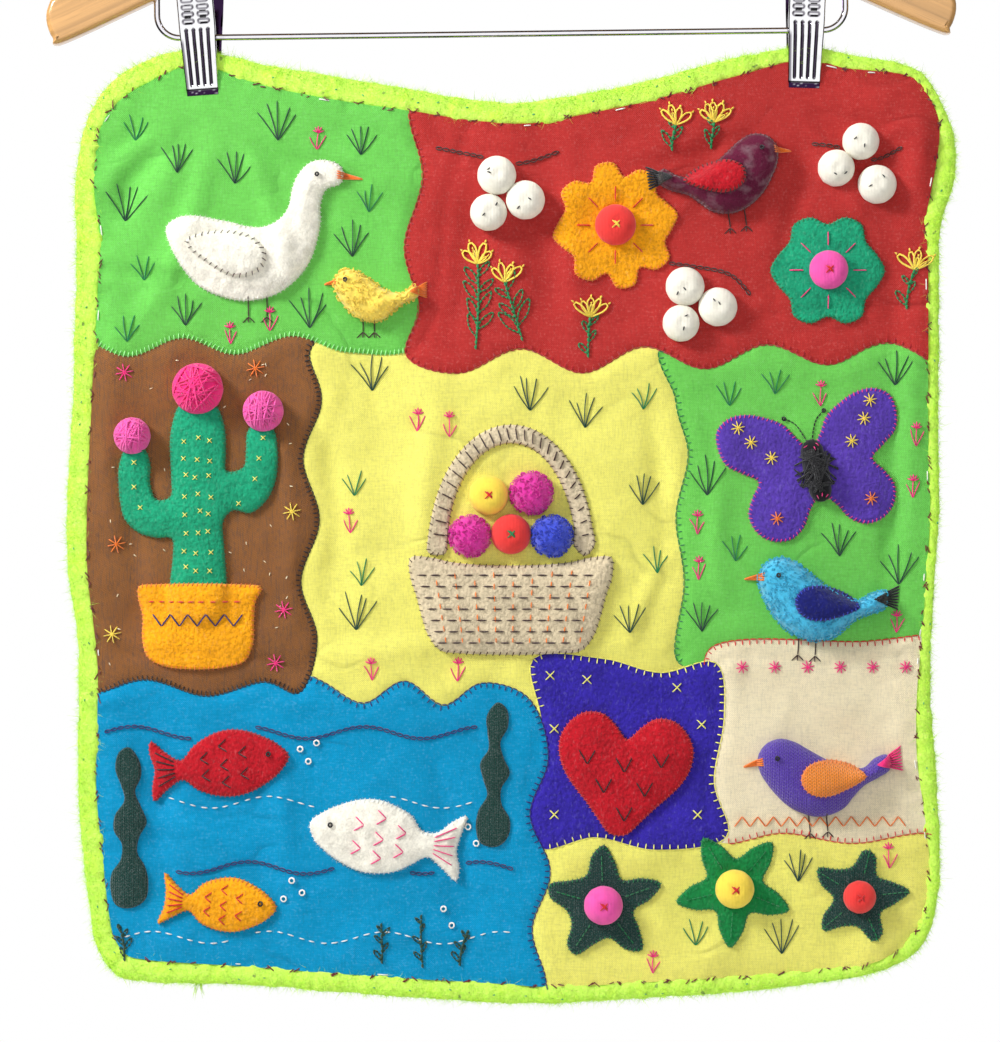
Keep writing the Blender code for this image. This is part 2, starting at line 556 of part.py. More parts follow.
# Every stuffed ball and padded disc: centre, radius, crown, what carries it besides the cloth, material.
BALLS = {
    "berry_1": ((-4, 172), 9.5, 8.0, None, "white_jersey"),
    "berry_2": ((10, 160), 9.5, 8.0, None, "white_jersey"),
    "berry_3": ((-8, 154), 9.0, 8.0, None, "white_jersey"),
    "berry_4": ((88, 118), 9.5, 8.0, None, "white_jersey"),
    "berry_5": ((104, 108), 9.5, 8.0, None, "white_jersey"),
    "berry_6": ((86, 100), 9.0, 8.0, None, "white_jersey"),
    "berry_7": ((182, 168), 9.5, 8.0, None, "white_jersey"),
    "berry_8": ((162, 176), 9.0, 8.0, None, "white_jersey"),
    "berry_9": ((174, 189), 9.0, 8.0, None, "white_jersey"),
    "gold_flower_centre": ((54, 148), 10.0, 6.0, "gold_flower", "red_jersey"),
    "jade_flower_centre": ((158, 126), 9.5, 6.0, "jade_flower", "pink_jersey"),
    "cactus_bloom_1": ((-150, 68), 12.5, 8.5, "cactus", "pink_yarn"),
    "cactus_bloom_2": ((-118, 57), 10.0, 7.0, "cactus", "pink_yarn"),
    "cactus_bloom_3": ((-182, 45), 9.0, 6.5, "cactus", "pink_yarn"),
    "fruit_1": ((-17, -4), 9.7, 8.0, "basket", "magenta_terry"),
    "fruit_2": ((3, -3), 9.8, 8.0, "basket", "red_jersey"),
    "fruit_3": ((23, -4), 9.7, 8.0, "basket", "blue_terry"),
    "fruit_4": ((-8, 16), 9.6, 8.0, None, "yellow_jersey"),
    "fruit_5": ((13, 17), 10.0, 8.0, None, "magenta_terry"),
    "leaf_star_one_ball": ((48, -184), 9.5, 7.0, "leaf_star_one", "pink_jersey"),
    "leaf_star_two_ball": ((112, -176), 9.5, 7.0, "leaf_star_two", "yellow_jersey"),
    "leaf_star_three_ball": ((173, -180), 8.0, 6.5, "leaf_star_three", "red_jersey"),
    "butterfly_body": ((152, 28), 6.0, 4.5, "butterfly_wings", "black_yarn"),
}
BUTTERFLY_BODY_LONG = 2.6

# Cloth colours as linear red, green and blue, with roughness.
COLOURS = {
    "white_fleece": (0.86, 0.83, 0.72), "gold_felt": (0.95, 0.42, 0.01), "jade_felt": (0.01, 0.33, 0.13),
    "maroon_felt": (0.16, 0.02, 0.06), "cream_felt": (0.84, 0.66, 0.42), "violet_felt": (0.09, 0.04, 0.42),
    "turquoise_terry": (0.05, 0.46, 0.68), "black_yarn": (0.01, 0.01, 0.012), "red_felt": (0.55, 0.01, 0.03),
    "dark_green_felt": (0.01, 0.07, 0.06), "violet_knit": (0.12, 0.07, 0.36),
    "orange_knit": (0.93, 0.38, 0.06),
    "cream_knit": (0.80, 0.72, 0.56), "white_jersey": (0.86, 0.82, 0.72), "red_jersey": (0.75, 0.06, 0.06),
    "pink_jersey": (0.85, 0.14, 0.40), "pink_yarn": (0.85, 0.06, 0.30), "magenta_terry": (0.74, 0.01, 0.38),
    "blue_terry": (0.03, 0.07, 0.70), "yellow_jersey": (0.93, 0.68, 0.08),
}
CLOTH_ROUGHNESS = 0.9


def cloth_material(name):
    return material(name, COLOURS[name], CLOTH_ROUGHNESS)


def crown_profile(points, outline):
    """From 0 at the outline to 1 at the place furthest inside it, rounded like a stuffed piece."""
    away, _ = distance_to_line(points, np.vstack([outline, outline[:1]]))
    share = away / max(away.max(), 1e-6)
    return np.sqrt(np.clip(1 - (1 - share) ** 2, 0, 1))


def sew_on(name, outline, step, lift, edge, crown, carriers, mat):
    """A piece over an outline that lies on its carriers, lift clear of them, with a raised crown."""
    reach = EDGE_REACH if len(carriers) > 1 else 0

    def back(points):
        return surface_height(points, carriers, reach) + lift

    def front(points):
        return back(points) + edge + crown * crown_profile(points, outline)

    return solid_between(name, outline, step, front, back, mat)


def build_pieces(cloth):
    trees = {None: tree_of(cloth)}
    for name, (shape, centre, turn, scale, flip, step, edge, crown, carrier, cover) in PIECES.items():
        corners = turned(shape, turn, centre, scale, flip)
        outline = spline(corners, step * 0.75)
        on = [trees[None]] + ([trees[carrier]] if carrier else [])
        made = sew_on(name, outline, step, PIECE_LIFT, edge, crown, on, cloth_material(cover))
        trees[name] = tree_of(made)
    for name, (centre, radius, crown, carrier, cover) in BALLS.items():
        long = BUTTERFLY_BODY_LONG if name == "butterfly_body" else 1.0
        outline = turned(round_outline(radius, radius * long), 12 if long > 1 else 0, centre)
        on = [trees[None]] + ([trees[carrier]] if carrier else [])
        sew_on(name, outline, radius * 0.55, BALL_LIFT, 2.0, crown, on, cloth_material(cover))


def main():
    for obj in list(bpy.data.objects):
        bpy.data.objects.remove(obj)
    hanger = bpy.data.objects.new("hanger_frame", None)
    bpy.context.scene.collection.objects.link(hanger)
    hanger.rotation_euler = (0, -HANGER_LEAN, 0)
    build_hanger(hanger)
    build_hook(hanger)
    build_clip_bar(hanger)
    build_clips(hanger)
    cloth = build_cloth()
    build_edging()
    build_pieces(cloth)


main()
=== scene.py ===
import json
import math

import bmesh
import bpy
import numpy as np
from mathutils import Matrix, Vector, noise
from mathutils.bvhtree import BVHTree
from mathutils.geometry import delaunay_2d_cdt
from mathutils.kdtree import KDTree


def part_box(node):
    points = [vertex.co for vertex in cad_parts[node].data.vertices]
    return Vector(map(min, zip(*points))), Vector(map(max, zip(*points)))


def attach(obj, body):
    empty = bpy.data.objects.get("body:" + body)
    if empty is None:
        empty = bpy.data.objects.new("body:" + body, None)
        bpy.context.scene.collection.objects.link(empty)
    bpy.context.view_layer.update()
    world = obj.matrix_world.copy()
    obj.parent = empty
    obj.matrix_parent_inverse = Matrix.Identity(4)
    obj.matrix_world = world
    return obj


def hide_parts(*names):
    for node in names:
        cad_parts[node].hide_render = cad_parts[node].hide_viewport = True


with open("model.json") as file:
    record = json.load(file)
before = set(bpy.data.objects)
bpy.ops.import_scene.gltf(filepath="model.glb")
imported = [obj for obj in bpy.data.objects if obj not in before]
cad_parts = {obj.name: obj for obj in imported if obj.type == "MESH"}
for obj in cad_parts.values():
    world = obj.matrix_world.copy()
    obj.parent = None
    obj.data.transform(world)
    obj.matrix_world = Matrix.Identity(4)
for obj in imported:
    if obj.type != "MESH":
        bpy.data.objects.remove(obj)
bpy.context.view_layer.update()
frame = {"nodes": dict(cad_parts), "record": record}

bl_info = {
    "name": "Appliqué Wall Textile",
    "version": (1, 0, 0),
    "blender": (4, 5, 0),
    "location": "View3D > Sidebar > Textile",
    "description": "Dresses a patchwork wall textile, its stuffed figures, embroidery and clip hanger",
    "category": "Object",
}

# The cloth hangs in the XZ plane and faces -Y. Places on it are u to the right and v up from its
# centre, and heights are towards the viewer. All three are in mm, as the solids have them.
CLOTH_X = 0.0039
CLOTH_Z = -0.4253

# How far the cloth's middle bellies out. From the middle of a clip's jaws it is still flat at PINCH_FLAT
# and hangs free at PINCH_FREE.
BILLOW = 4.0
PINCH_FLAT = 13.0
PINCH_FREE = 42.0
JAW_POINTS = ((-150, 213), (145, 217))

# The main folds, as in the solids: start, end, sideways bow, half width, and height, less than 0 in
# a trough.
FOLDS = {
    "clip_left_ridge": ((-154, 200), (-182, 150), 0, 13, 3.2),
    "clip_left_trough": ((-168, 214), (-196, 176), 0, 9, -2.6),
    "swag_ridge": ((-140, 208), (140, 210), -46, 15, 3.2),
    "swag_trough": ((-120, 185), (125, 186), -40, 12, -1.8),
    "centre_ridge": ((0, 196), (7, 104), 0, 10, 3.0),
    "centre_trough": ((20, 194), (22, 92), 0, 9, -2.2),
    "corner_ridge": ((160, 214), (200, 190), 6, 9, 4.6),
    "corner_drop": ((202, 206), (203, 160), 0, 9, 4.2),
    "side_trough": ((188, 150), (190, 50), 4, 9, -2.4),
    "side_ridge": ((201, 122), (197, 30), 0, 9, 2.8),
    "left_side_ridge": ((-189, 98), (-186, -20), -3, 10, 2.4),
    "left_corner_ridge": ((-184, -181), (-150, -206), 0, 9, 2.8),
    "foot_ridge_middle": ((92, -224), (112, -196), 0, 9, 2.4),
    "foot_ridge_right": ((166, -220), (188, -198), 0, 9, 2.8),
    "lower_right_ridge": ((60, -160), (104, -146), 3, 10, 2.2),
    "middle_trough": ((-76, 113), (-61, 5), 5, 13, -2.0),
    "middle_ridge": ((50, 24), (46, -58), 0, 14, 2.4),
}

# Small creases of the ground, in the same order. They fade in the jaws as the folds do. At the edging
# they keep CREASE_AT_RIM of their height, and CREASE_REACH mm in they have all of it.
CREASES = [
    ((-150, 204), (-204, 128), -5, 8.0, -4.4), ((-162, 196), (-206, 160), -3, 5.0, 2.0),
    ((-142, 194), (-178, 96), 4, 6.0, 2.9), ((-128, 192), (-104, 118), 2, 5.0, 2.5),
    ((-134, 196), (-66, 170), -6, 5.0, -2.5), ((152, 202), (208, 150), -4, 5.0, -3.1),
    ((132, 200), (60, 178), 5, 5.5, -2.9), ((150, 196), (176, 150), 3, 5.0, 2.6),
    ((146, 192), (132, 122), 2, 6.0, -2.9), ((168, 176), (196, 196), 2, 3.0, 2.0),
    ((116, 196), (80, 150), 2, 4.0, 2.0), ((-20, 170), (-26, 92), 3, 7.0, -2.5),
    ((30, 172), (38, 100), -3, 6.0, 2.5), ((-90, 60), (-84, -40), 3, 7.0, -2.7),
    ((-30, 66), (-40, -20), -4, 7.0, 2.5), ((70, 60), (78, -30), 3, 6.0, -2.9),
    ((110, 60), (104, -40), -3, 6.0, 2.1), ((190, 60), (184, -40), 3, 6.0, -2.9),
    ((-196, 60), (-180, -60), 5, 6.0, -2.3), ((-110, 70), (-104, -50), 2, 5.0, 2.1),
    ((-180, -90), (-170, -200), 6, 8.0, -2.9), ((-110, -96), (-96, -210), -4, 7.0, 2.5),
    ((-40, -96), (-20, -206), 5, 8.0, -2.9), ((-80, -200), (10, -206), 5, 6.0, 2.1),
    ((30, -170), (120, -206), 3, 6.0, -2.1), ((130, -160), (196, -206), -4, 6.0, 2.3),
    ((110, -70), (190, -120), 3, 7.0, -2.0), ((24, -80), (90, -140), 3, 6.0, -2.0),
    ((-196, -140), (-120, -160), 4, 6.0, 2.0), ((-70, 100), (-10, 70), 4, 5.0, -2.0),
    ((-90, -60), (-20, -52), -4, 6.0, 2.1), ((60, -60), (84, -10), 4, 4.0, 2.1),
]
CREASE_AT_RIM = 0.25
CREASE_REACH = 18

# The ground patches from the lowest to the highest: colour, weave, thread of the blanket stitch along
# the free edge, that stitch's pitch, and the corners of the cut. A cut runs on under the edging.
PATCHES = {
    "ground_yellow": ("lemon", "muslin", None, 0, [(-240, 250), (-240, -250), (240, -250), (240, 250)]),
    "ground_lime_right": ("lime", "muslin", "green", 3.4, [
        (88, 96), (84, 62), (90, 36), (84, 6), (88, -26), (85, -66), (120, -62), (160, -66), (200, -61),
        (240, -66), (240, 96)]),
    "ground_cream": ("cream", "muslin", "scarlet", 3.6, [
        (102, -58), (104, -92), (99, -124), (104, -153), (136, -149), (170, -154), (205, -149), (240, -153),
        (240, -60), (170, -56)]),
    "ground_purple": ("purple", "felted", "lemon", 4.0, [
        (14, -64), (18, -96), (12, -128), (17, -156), (44, -151), (74, -157), (108, -151), (102, -124),
        (107, -92), (103, -66), (76, -71), (48, -64)]),
    "ground_blue": ("blue", "muslin", "navy", 3.2, [
        (-240, -62), (-180, -62), (-126, -63), (-105, -68), (-88, -76), (-69, -86), (-49, -75), (-30, -87),
        (-11, -76), (12, -84), (21, -112), (12, -140), (22, -168), (13, -196),
        (20, -224), (12, -250), (-240, -250)]),
    "ground_brown": ("brown", "twill", "black", 2.3, [
        (-240, 110), (-240, -78), (-206, -82), (-176, -74), (-146, -82), (-118, -75), (-100, -80), (-92, -54),
        (-100, -26), (-91, 4), (-99, 34), (-90, 62), (-96, 84), (-98, 110)]),
    "ground_lime_left": ("lime", "muslin", "lime_fringe", 2.2, [
        (-240, 250), (-240, 90), (-208, 92), (-184, 84), (-158, 93), (-132, 85), (-104, 94), (-76, 86),
        (-40, 92), (-30, 150), (-30, 250)]),
    "ground_red": ("red", "muslin", "crimson", 3.7, [
        (-40, 250), (-47, 206), (-40, 172), (-49, 138), (-42, 108), (-48, 84), (-22, 76), (8, 88), (38, 76),
        (68, 89), (98, 78), (128, 90), (158, 80), (188, 91), (240, 82), (240, 250)]),
}
# Points along a seam are this far apart, in mm. A patch is PATCH_THICK thick, and each lies PATCH_LAP over
# the one before it.
SEAM_STEP = 2.0
PATCH_THICK = 0.5
PATCH_LAP = 0.07

# Motifs are scattered between these two corners of the picture.
PICTURE = ((-200, -220), (206, 222))
# Where the edging's loose end of yarn hangs.
LOOSE_END = (-150, -233)

# Cloth colours, as linear red, green and blue.
COLOURS = {
    "lemon": (0.98, 0.93, 0.195), "lime": (0.185, 0.70, 0.110), "cream": (1.0, 0.88, 0.60),
    "purple": (0.034, 0.018, 0.38), "blue": (0.002, 0.34, 0.65), "brown": (0.265, 0.110, 0.034),
    "red": (0.56, 0.040, 0.036), "white": (0.92, 0.88, 0.76), "gold": (0.98, 0.40, 0.004),
    "jade": (0.010, 0.36, 0.18), "kelly": (0.006, 0.24, 0.055), "maroon": (0.115, 0.008, 0.035),
    "crimson": (0.52, 0.006, 0.016), "pine": (0.004, 0.050, 0.040), "turquoise": (0.030, 0.46, 0.72),
    "black": (0.006, 0.006, 0.008), "orange": (0.95, 0.28, 0.03), "rose": (0.90, 0.10, 0.42),
    "coral": (0.84, 0.045, 0.040), "canary": (0.98, 0.72, 0.08), "magenta": (0.72, 0.006, 0.34),
    "royal": (0.020, 0.055, 0.62), "violet": (0.10, 0.045, 0.42), "oat": (0.72, 0.60, 0.40),
    "neon": (0.60, 0.93, 0.115), "green": (0.004, 0.23, 0.065), "forest": (0.003, 0.055, 0.028),
    "navy": (0.008, 0.012, 0.16), "pink": (0.95, 0.028, 0.24), "claret": (0.16, 0.006, 0.012),
    "scarlet": (0.72, 0.012, 0.014), "lime_fringe": (0.36, 0.90, 0.30), "snow": (0.95, 0.94, 0.88),
    "cocoa": (0.045, 0.012, 0.008), "tangerine": (0.95, 0.22, 0.02),
}

# The cut felt and cloth pieces: colour, finish, height at the edge, crown above that, and the thread
# of the stitch that holds the edge down, from the lowest piece to the highest.
FIGURES = {
    "goose_body": ("white", "fleece", 1.6, 5.0, "snow"),
    "goose_wing": ("white", "fleece", 1.2, 3.0, "cocoa"),
    "gold_flower": ("gold", "felt", 1.3, 1.2, "tangerine"),
    "jade_flower": ("jade", "felt", 1.3, 1.2, "green"),
    "maroon_bird_body": ("maroon", "velvet", 2.0, 9.0, "claret"),
    "maroon_bird_wing": ("crimson", "felt", 1.2, 2.4, "black"),
    "cactus": ("jade", "felt", 1.5, 3.2, "green"), "flower_pot": ("gold", "felt", 1.5, 3.0, "tangerine"),
    "basket": ("oat", "felt", 1.7, 4.2, "cocoa"), "basket_handle": ("oat", "felt", 1.6, 1.0, "cocoa"),
    "butterfly_wings": ("violet", "felt", 1.3, 1.4, "pink"),
    "turquoise_bird_body": ("turquoise", "terry", 2.0, 10.0, None),
    "turquoise_bird_wing": ("navy", "felt", 1.2, 2.6, "royal"),
    "red_fish": ("crimson", "felt", 1.5, 3.4, "scarlet"), "white_fish": ("white", "fleece", 1.5, 4.2, "snow"),
    "gold_fish": ("gold", "felt", 1.5, 3.0, "tangerine"),
    "weed_left": ("pine", "velour", 1.3, 0.8, None), "weed_right": ("pine", "velour", 1.3, 0.8, None),
    "heart": ("crimson", "felt", 1.5, 4.0, "scarlet"),
    "violet_bird_body": ("violet", "knit", 2.0, 10.0, None),
    "violet_bird_wing": ("orange", "knit", 1.2, 2.6, "tangerine"),
    "leaf_star_one": ("pine", "velour", 1.3, 0.8, "green"),
    "leaf_star_two": ("kelly", "felt", 1.3, 0.8, "green"),
    "leaf_star_three": ("pine", "velour", 1.3, 0.8, "green"),
    "cream_chick_body": ("canary", "terry", 1.6, 7.0, None),
}
STUFFED = ("maroon_bird_body", "turquoise_bird_body", "violet_bird_body", "cream_chick_body", "goose_body",
           "white_fish", "basket", "heart", "red_fish", "gold_fish")

# Balls: colour, finish, and thread of the stitch in the middle.
BALLS = {
    **{f"berry_{n}": ("white", "jersey", "black") for n in range(1, 10)},
    "gold_flower_centre": ("coral", "jersey", "canary"), "jade_flower_centre": ("rose", "jersey", "scarlet"),
    "cactus_bloom_1": ("pink", "wound", None), "cactus_bloom_2": ("rose", "wound", None),
    "cactus_bloom_3": ("rose", "wound", None),
    "fruit_1": ("magenta", "terry", None), "fruit_2": ("coral", "jersey", "green"),
    "fruit_3": ("royal", "terry", None), "fruit_4": ("canary", "jersey", "scarlet"),
    "fruit_5": ("magenta", "terry", None),
    "leaf_star_one_ball": ("rose", "jersey", "scarlet"),
    "leaf_star_two_ball": ("canary", "jersey", "scarlet"),
    "leaf_star_three_ball": ("coral", "jersey", "scarlet"), "butterfly_body": ("black", "wound", None),
}


class TextileSizes(bpy.types.PropertyGroup):
    """Sizes of the cloth, thread and pile that a user would change."""

    cloth_thickness: bpy.props.FloatProperty(
        name="Cloth thickness", description="Thickness of the backing cloth", default=0.003, unit="LENGTH")
    ground_step: bpy.props.FloatProperty(
        name="Ground step", description="Distance between the points of the ground patches", default=0.0026,
        unit="LENGTH")
    figure_step: bpy.props.FloatProperty(
        name="Figure step", description="Distance between the points of the cut figures", default=0.0016,
        unit="LENGTH")
    thread: bpy.props.FloatProperty(
        name="Thread", description="Radius of the embroidery thread", default=0.00040, unit="LENGTH")
    fur_length: bpy.props.FloatProperty(
        name="Fur length", description="Length of the brushed fibres of the edging", default=0.0062,
        unit="LENGTH")
    fur_density: bpy.props.FloatProperty(
        name="Fur density", description="Brushed fibres to a square metre of edging", default=2400000.0)
    terry_density: bpy.props.FloatProperty(
        name="Terry density", description="Loops to a square metre of terry", default=270000.0)
    seed: bpy.props.IntProperty(name="Seed", description="Seed of every scatter", default=7)


class TextileColours(bpy.types.PropertyGroup):
    """Colours of what frames the picture."""

    edging: bpy.props.FloatVectorProperty(
        name="Edging", description="Colour of the brushed yarn edging", default=COLOURS["neon"],
        subtype="COLOR")
    backing: bpy.props.FloatVectorProperty(
        name="Backing", description="Colour of the backing cotton", default=(0.86, 0.84, 0.76),
        subtype="COLOR")
    wood: bpy.props.FloatVectorProperty(
        name="Wood", description="Colour of the varnished hanger", default=(0.66, 0.36, 0.13),
        subtype="COLOR")
    floor: bpy.props.FloatVectorProperty(
        name="Floor", description="Colour of the pale floor", default=(0.90, 0.90, 0.89), subtype="COLOR")


def mm(value):
    return value / 1000.0


def place(u, v, height):
    """The point at (u, v) on the cloth, that many mm towards the viewer."""
    return Vector((CLOTH_X + mm(u), -mm(height), CLOTH_Z + mm(v)))


def flat_place(x, z):
    """The (u, v) of a place in metres."""
    return (x - CLOTH_X) * 1000, (z - CLOTH_Z) * 1000


def spline(points, step, closed=True):
    """Points about step apart along a smooth curve through these points."""
    rows = np.array(points, float)
    count = len(rows)
    fine = []
    for i in range(count if closed else count - 1):
        if closed:
            a, b, c, d = (rows[(i + k - 1) % count] for k in range(4))
        else:
            a, b, c, d = (rows[min(max(i + k - 1, 0), count - 1)] for k in range(4))
        for t in np.linspace(0, 1, 12, endpoint=False):
            fine.append(0.5 * (2 * b + (c - a) * t + (2 * a - 5 * b + 4 * c - d) * t**2
                               + (3 * b - a - 3 * c + d) * t**3))
    fine.append(fine[0] if closed else rows[-1])
    return spaced(np.array(fine), step, closed)


def spaced(line, step, closed=False):
    """The line again with points about step apart. A closed line doesn't repeat its first point."""
    along = np.concatenate([[0], np.cumsum(np.linalg.norm(np.diff(line, axis=0), axis=1))])
    steps = max(3, round(along[-1] / step))
    at = np.linspace(0, along[-1], steps + 1)[: steps if closed else None]
    return np.stack([np.interp(at, along, line[:, k]) for k in range(line.shape[1])], axis=1)


def closed_line(outline):
    return np.vstack([outline, outline[:1]])


def distance_to_line(points, line):
    """How far each point is from a line, and how far along the line its nearest place is, from 0 to 1."""
    best = np.full(len(points), np.inf)
    share = np.zeros(len(points))
    spans = len(line) - 1
    for i in range(spans):
        a, d = line[i], line[i + 1] - line[i]
        t = np.clip(((points - a) @ d) / max(d @ d, 1e-12), 0, 1)
        away = np.linalg.norm(points - a - t[:, None] * d, axis=1)
        closer = away < best
        best[closer] = away[closer]
        share[closer] = (i + t[closer]) / spans
    return best, share


def rim_distance(points, outline):
    """How far each point is from a closed outline."""
    return distance_to_line(points, closed_line(outline))[0]


def smoothstep(x):
    x = np.clip(x, 0, 1)
    return x * x * (3 - 2 * x)


def bump(away, reach):
    """A smooth bump of height 1 that falls off over reach."""
    return np.exp(-((away / reach) ** 2))


def bowed(start, end, bow):
    """Points along a line that bows to its left."""
    start, end = np.array(start, float), np.array(end, float)
    side = np.array([-(end - start)[1], (end - start)[0]])
    side = side / np.linalg.norm(side)
    return np.array([start + (end - start) * t + side * bow * 4 * t * (1 - t) for t in np.linspace(0, 1, 13)])


def cloth_height(points):
    """How far the middle of the cloth stands towards the viewer at each (u, v), on the solid's folds."""
    points = np.atleast_2d(np.array(points, float))
    height = BILLOW * np.cos(points[:, 0] / 150) * smoothstep((190 - points[:, 1]) / 260)
    for start, end, bow, half_width, rise in FOLDS.values():
        away, share = distance_to_line(points, bowed(start, end, bow))
        fade = 0.35 + 0.65 * np.sin(np.pi * np.clip(share, 0.02, 0.98))
        height += rise * fade * bump(away, half_width)
    return height * unpinched(points)


def creased(points):
    """How far the small creases raise the cloth at each (u, v). They flatten towards the edging."""
    height = np.zeros(len(points))
    for start, end, bow, half_width, rise in CREASES:
        reach, share = distance_to_line(points, bowed(start, end, bow))
        height += rise * np.sin(np.pi * np.clip(share, 0, 1)) ** 0.6 * bump(reach, half_width)
    inward = smoothstep(rim_distance(points, OUTLINES["cloth"]) / CREASE_REACH)
    return height * unpinched(points) * (CREASE_AT_RIM + (1 - CREASE_AT_RIM) * inward)


def unpinched(points):
    """From 0 in a clip's jaws, where the cloth is flat, to 1 where it hangs free."""
    free = 1.0
    for jaw in JAW_POINTS:
        away = np.linalg.norm(points - np.array(jaw), axis=1)
        free = free * smoothstep((away - PINCH_FLAT) / (PINCH_FREE - PINCH_FLAT))
    return free


def is_inside(points, outline):
    """Which points lie inside a closed outline."""
    points, outline = np.atleast_2d(points), np.asarray(outline, float)
    inside = np.zeros(len(points), bool)
    low, high = outline.min(0), outline.max(0)
    near = np.flatnonzero(((points >= low) & (points <= high)).all(axis=1))
    a, b = outline, np.roll(outline, -1, axis=0)
    rise = np.where(a[:, 1] == b[:, 1], 1e-12, b[:, 1] - a[:, 1])
    for part in np.array_split(near, max(1, len(near) * len(outline) // 2000000 + 1)):
        u, v = points[part, :1], points[part, 1:]
        spans = (a[:, 1] > v) != (b[:, 1] > v)
        at = a[:, 0] + (v - a[:, 1]) * (b[:, 0] - a[:, 0]) / rise
        inside[part] = (spans & (u < at)).sum(axis=1) % 2 == 1
    return inside


def area_of(outline):
    after = np.roll(outline, -1, axis=0)
    return float((outline[:, 0] * after[:, 1] - outline[:, 1] * after[:, 0]).sum() / 2)


def anticlockwise(outline):
    return outline if area_of(outline) > 0 else outline[::-1]


def outward(outline):
    """The unit normals of a closed outline, pointing out of it."""
    ahead = np.roll(outline, -1, axis=0) - np.roll(outline, 1, axis=0)
    normal = np.stack([ahead[:, 1], -ahead[:, 0]], axis=1)
    normal /= np.maximum(np.linalg.norm(normal, axis=1), 1e-9)[:, None]
    return normal if area_of(outline) > 0 else -normal


def grid_inside(outline, step, margin):
    """Staggered points inside a closed outline, at least margin from it."""
    low, high = outline.min(0), outline.max(0)
    rows = np.arange(low[1] + step * 0.45, high[1], step * 0.87)
    columns = np.arange(low[0], high[0], step)
    found = np.array([(u + (k % 2) * step / 2, v) for k, v in enumerate(rows) for u in columns])
    found = found[is_inside(found, outline)]
    return found[rim_distance(found, outline) > margin]


def loop_edges(count):
    return [(i, (i + 1) % count) for i in range(count)]


def filled(outline, points, edges=None):
    """The points and the flat triangles between them that fill the outline, all turning anticlockwise."""
    edges = edges or loop_edges(len(outline))
    found, _, faces, _, _, _ = delaunay_2d_cdt([Vector(p) for p in points], edges, [], 0, 1e-5, False)
    found, faces = np.array([tuple(p) for p in found]), np.array(faces)
    faces = faces[is_inside(found[faces].mean(axis=1), outline)]
    a, b, c = (found[faces[:, k]] for k in range(3))
    turn = (b[:, 0] - a[:, 0]) * (c[:, 1] - a[:, 1]) - (c[:, 0] - a[:, 0]) * (b[:, 1] - a[:, 1])
    faces[turn < 0] = faces[turn < 0][:, ::-1]
    return found, faces[np.abs(turn) > 1e-9]


def linked(name, data):
    """An object for this mesh, light or camera, in the scene."""
    made = bpy.data.objects.new(name, data)
    bpy.context.scene.collection.objects.link(made)
    return made


def plain_mesh(name, verts, edges, faces):
    mesh = bpy.data.meshes.new(name)
    mesh.from_pydata([tuple(v) for v in verts], edges, [tuple(int(i) for i in f) for f in faces])
    return mesh


def rims_of(node):
    """The outlines in (u, v) where a flat node's front meets its walls, longest first."""
    mesh = bpy.data.meshes.new("rim")
    bm = bmesh.new()
    bm.from_mesh(frame["nodes"][node].data)
    bmesh.ops.remove_doubles(bm, verts=bm.verts, dist=1e-6)
    bm.normal_update()
    following = {}
    for edge in bm.edges:
        if len(edge.link_faces) != 2:
            continue
        walls = [abs(f.normal.y) < 0.02 for f in edge.link_faces]
        fronts = [f.normal.y < -0.05 for f in edge.link_faces]
        if any(walls) and any(fronts):
            front = edge.link_faces[fronts.index(True)]
            for loop in front.loops:
                if loop.edge == edge:
                    following[loop.vert.index] = loop.link_loop_next.vert.index
    bm.verts.ensure_lookup_table()
    rims = []
    while following:
        at = next(iter(following))
        rim = []
        while at in following:
            rim.append(flat_place(bm.verts[at].co.x, bm.verts[at].co.z))
            at = following.pop(at)
        rims.append(np.array(rim))
    bm.free()
    bpy.data.meshes.remove(mesh)
    return sorted(rims, key=lambda rim: -len(rim))


def outline_of(node, step):
    """The smooth outline of a flat node, with points about step apart."""
    return anticlockwise(spline(rims_of(node)[0], step))


def make_object(name, verts, faces, mat, smooth_angle=40.0):
    mesh = plain_mesh(name, verts, [], faces)
    if mat:
        mesh.materials.append(mat)
    mesh.shade_smooth()
    mesh.set_sharp_from_angle(angle=math.radians(smooth_angle))
    return linked(name, mesh)


def closed_solid(name, points, faces, front, back, mat):
    """A closed solid over flat triangles in mm, from a front and a back height at each point."""
    total = len(points)
    verts = [place(u, v, h) for (u, v), h in zip(points, front)]
    verts += [place(u, v, h) for (u, v), h in zip(points, back)]
    solid = [tuple(f) for f in faces] + [tuple(i + total for i in f[::-1]) for f in faces]
    ends = set()
    for f in faces:
        for a, b in ((f[0], f[1]), (f[1], f[2]), (f[2], f[0])):
            if (b, a) in ends:
                ends.discard((b, a))
            else:
                ends.add((a, b))
    for a, b in sorted(ends):
        solid += [(b, a, a + total), (b, a + total, b + total)]
    return make_object(name, verts, solid, mat)


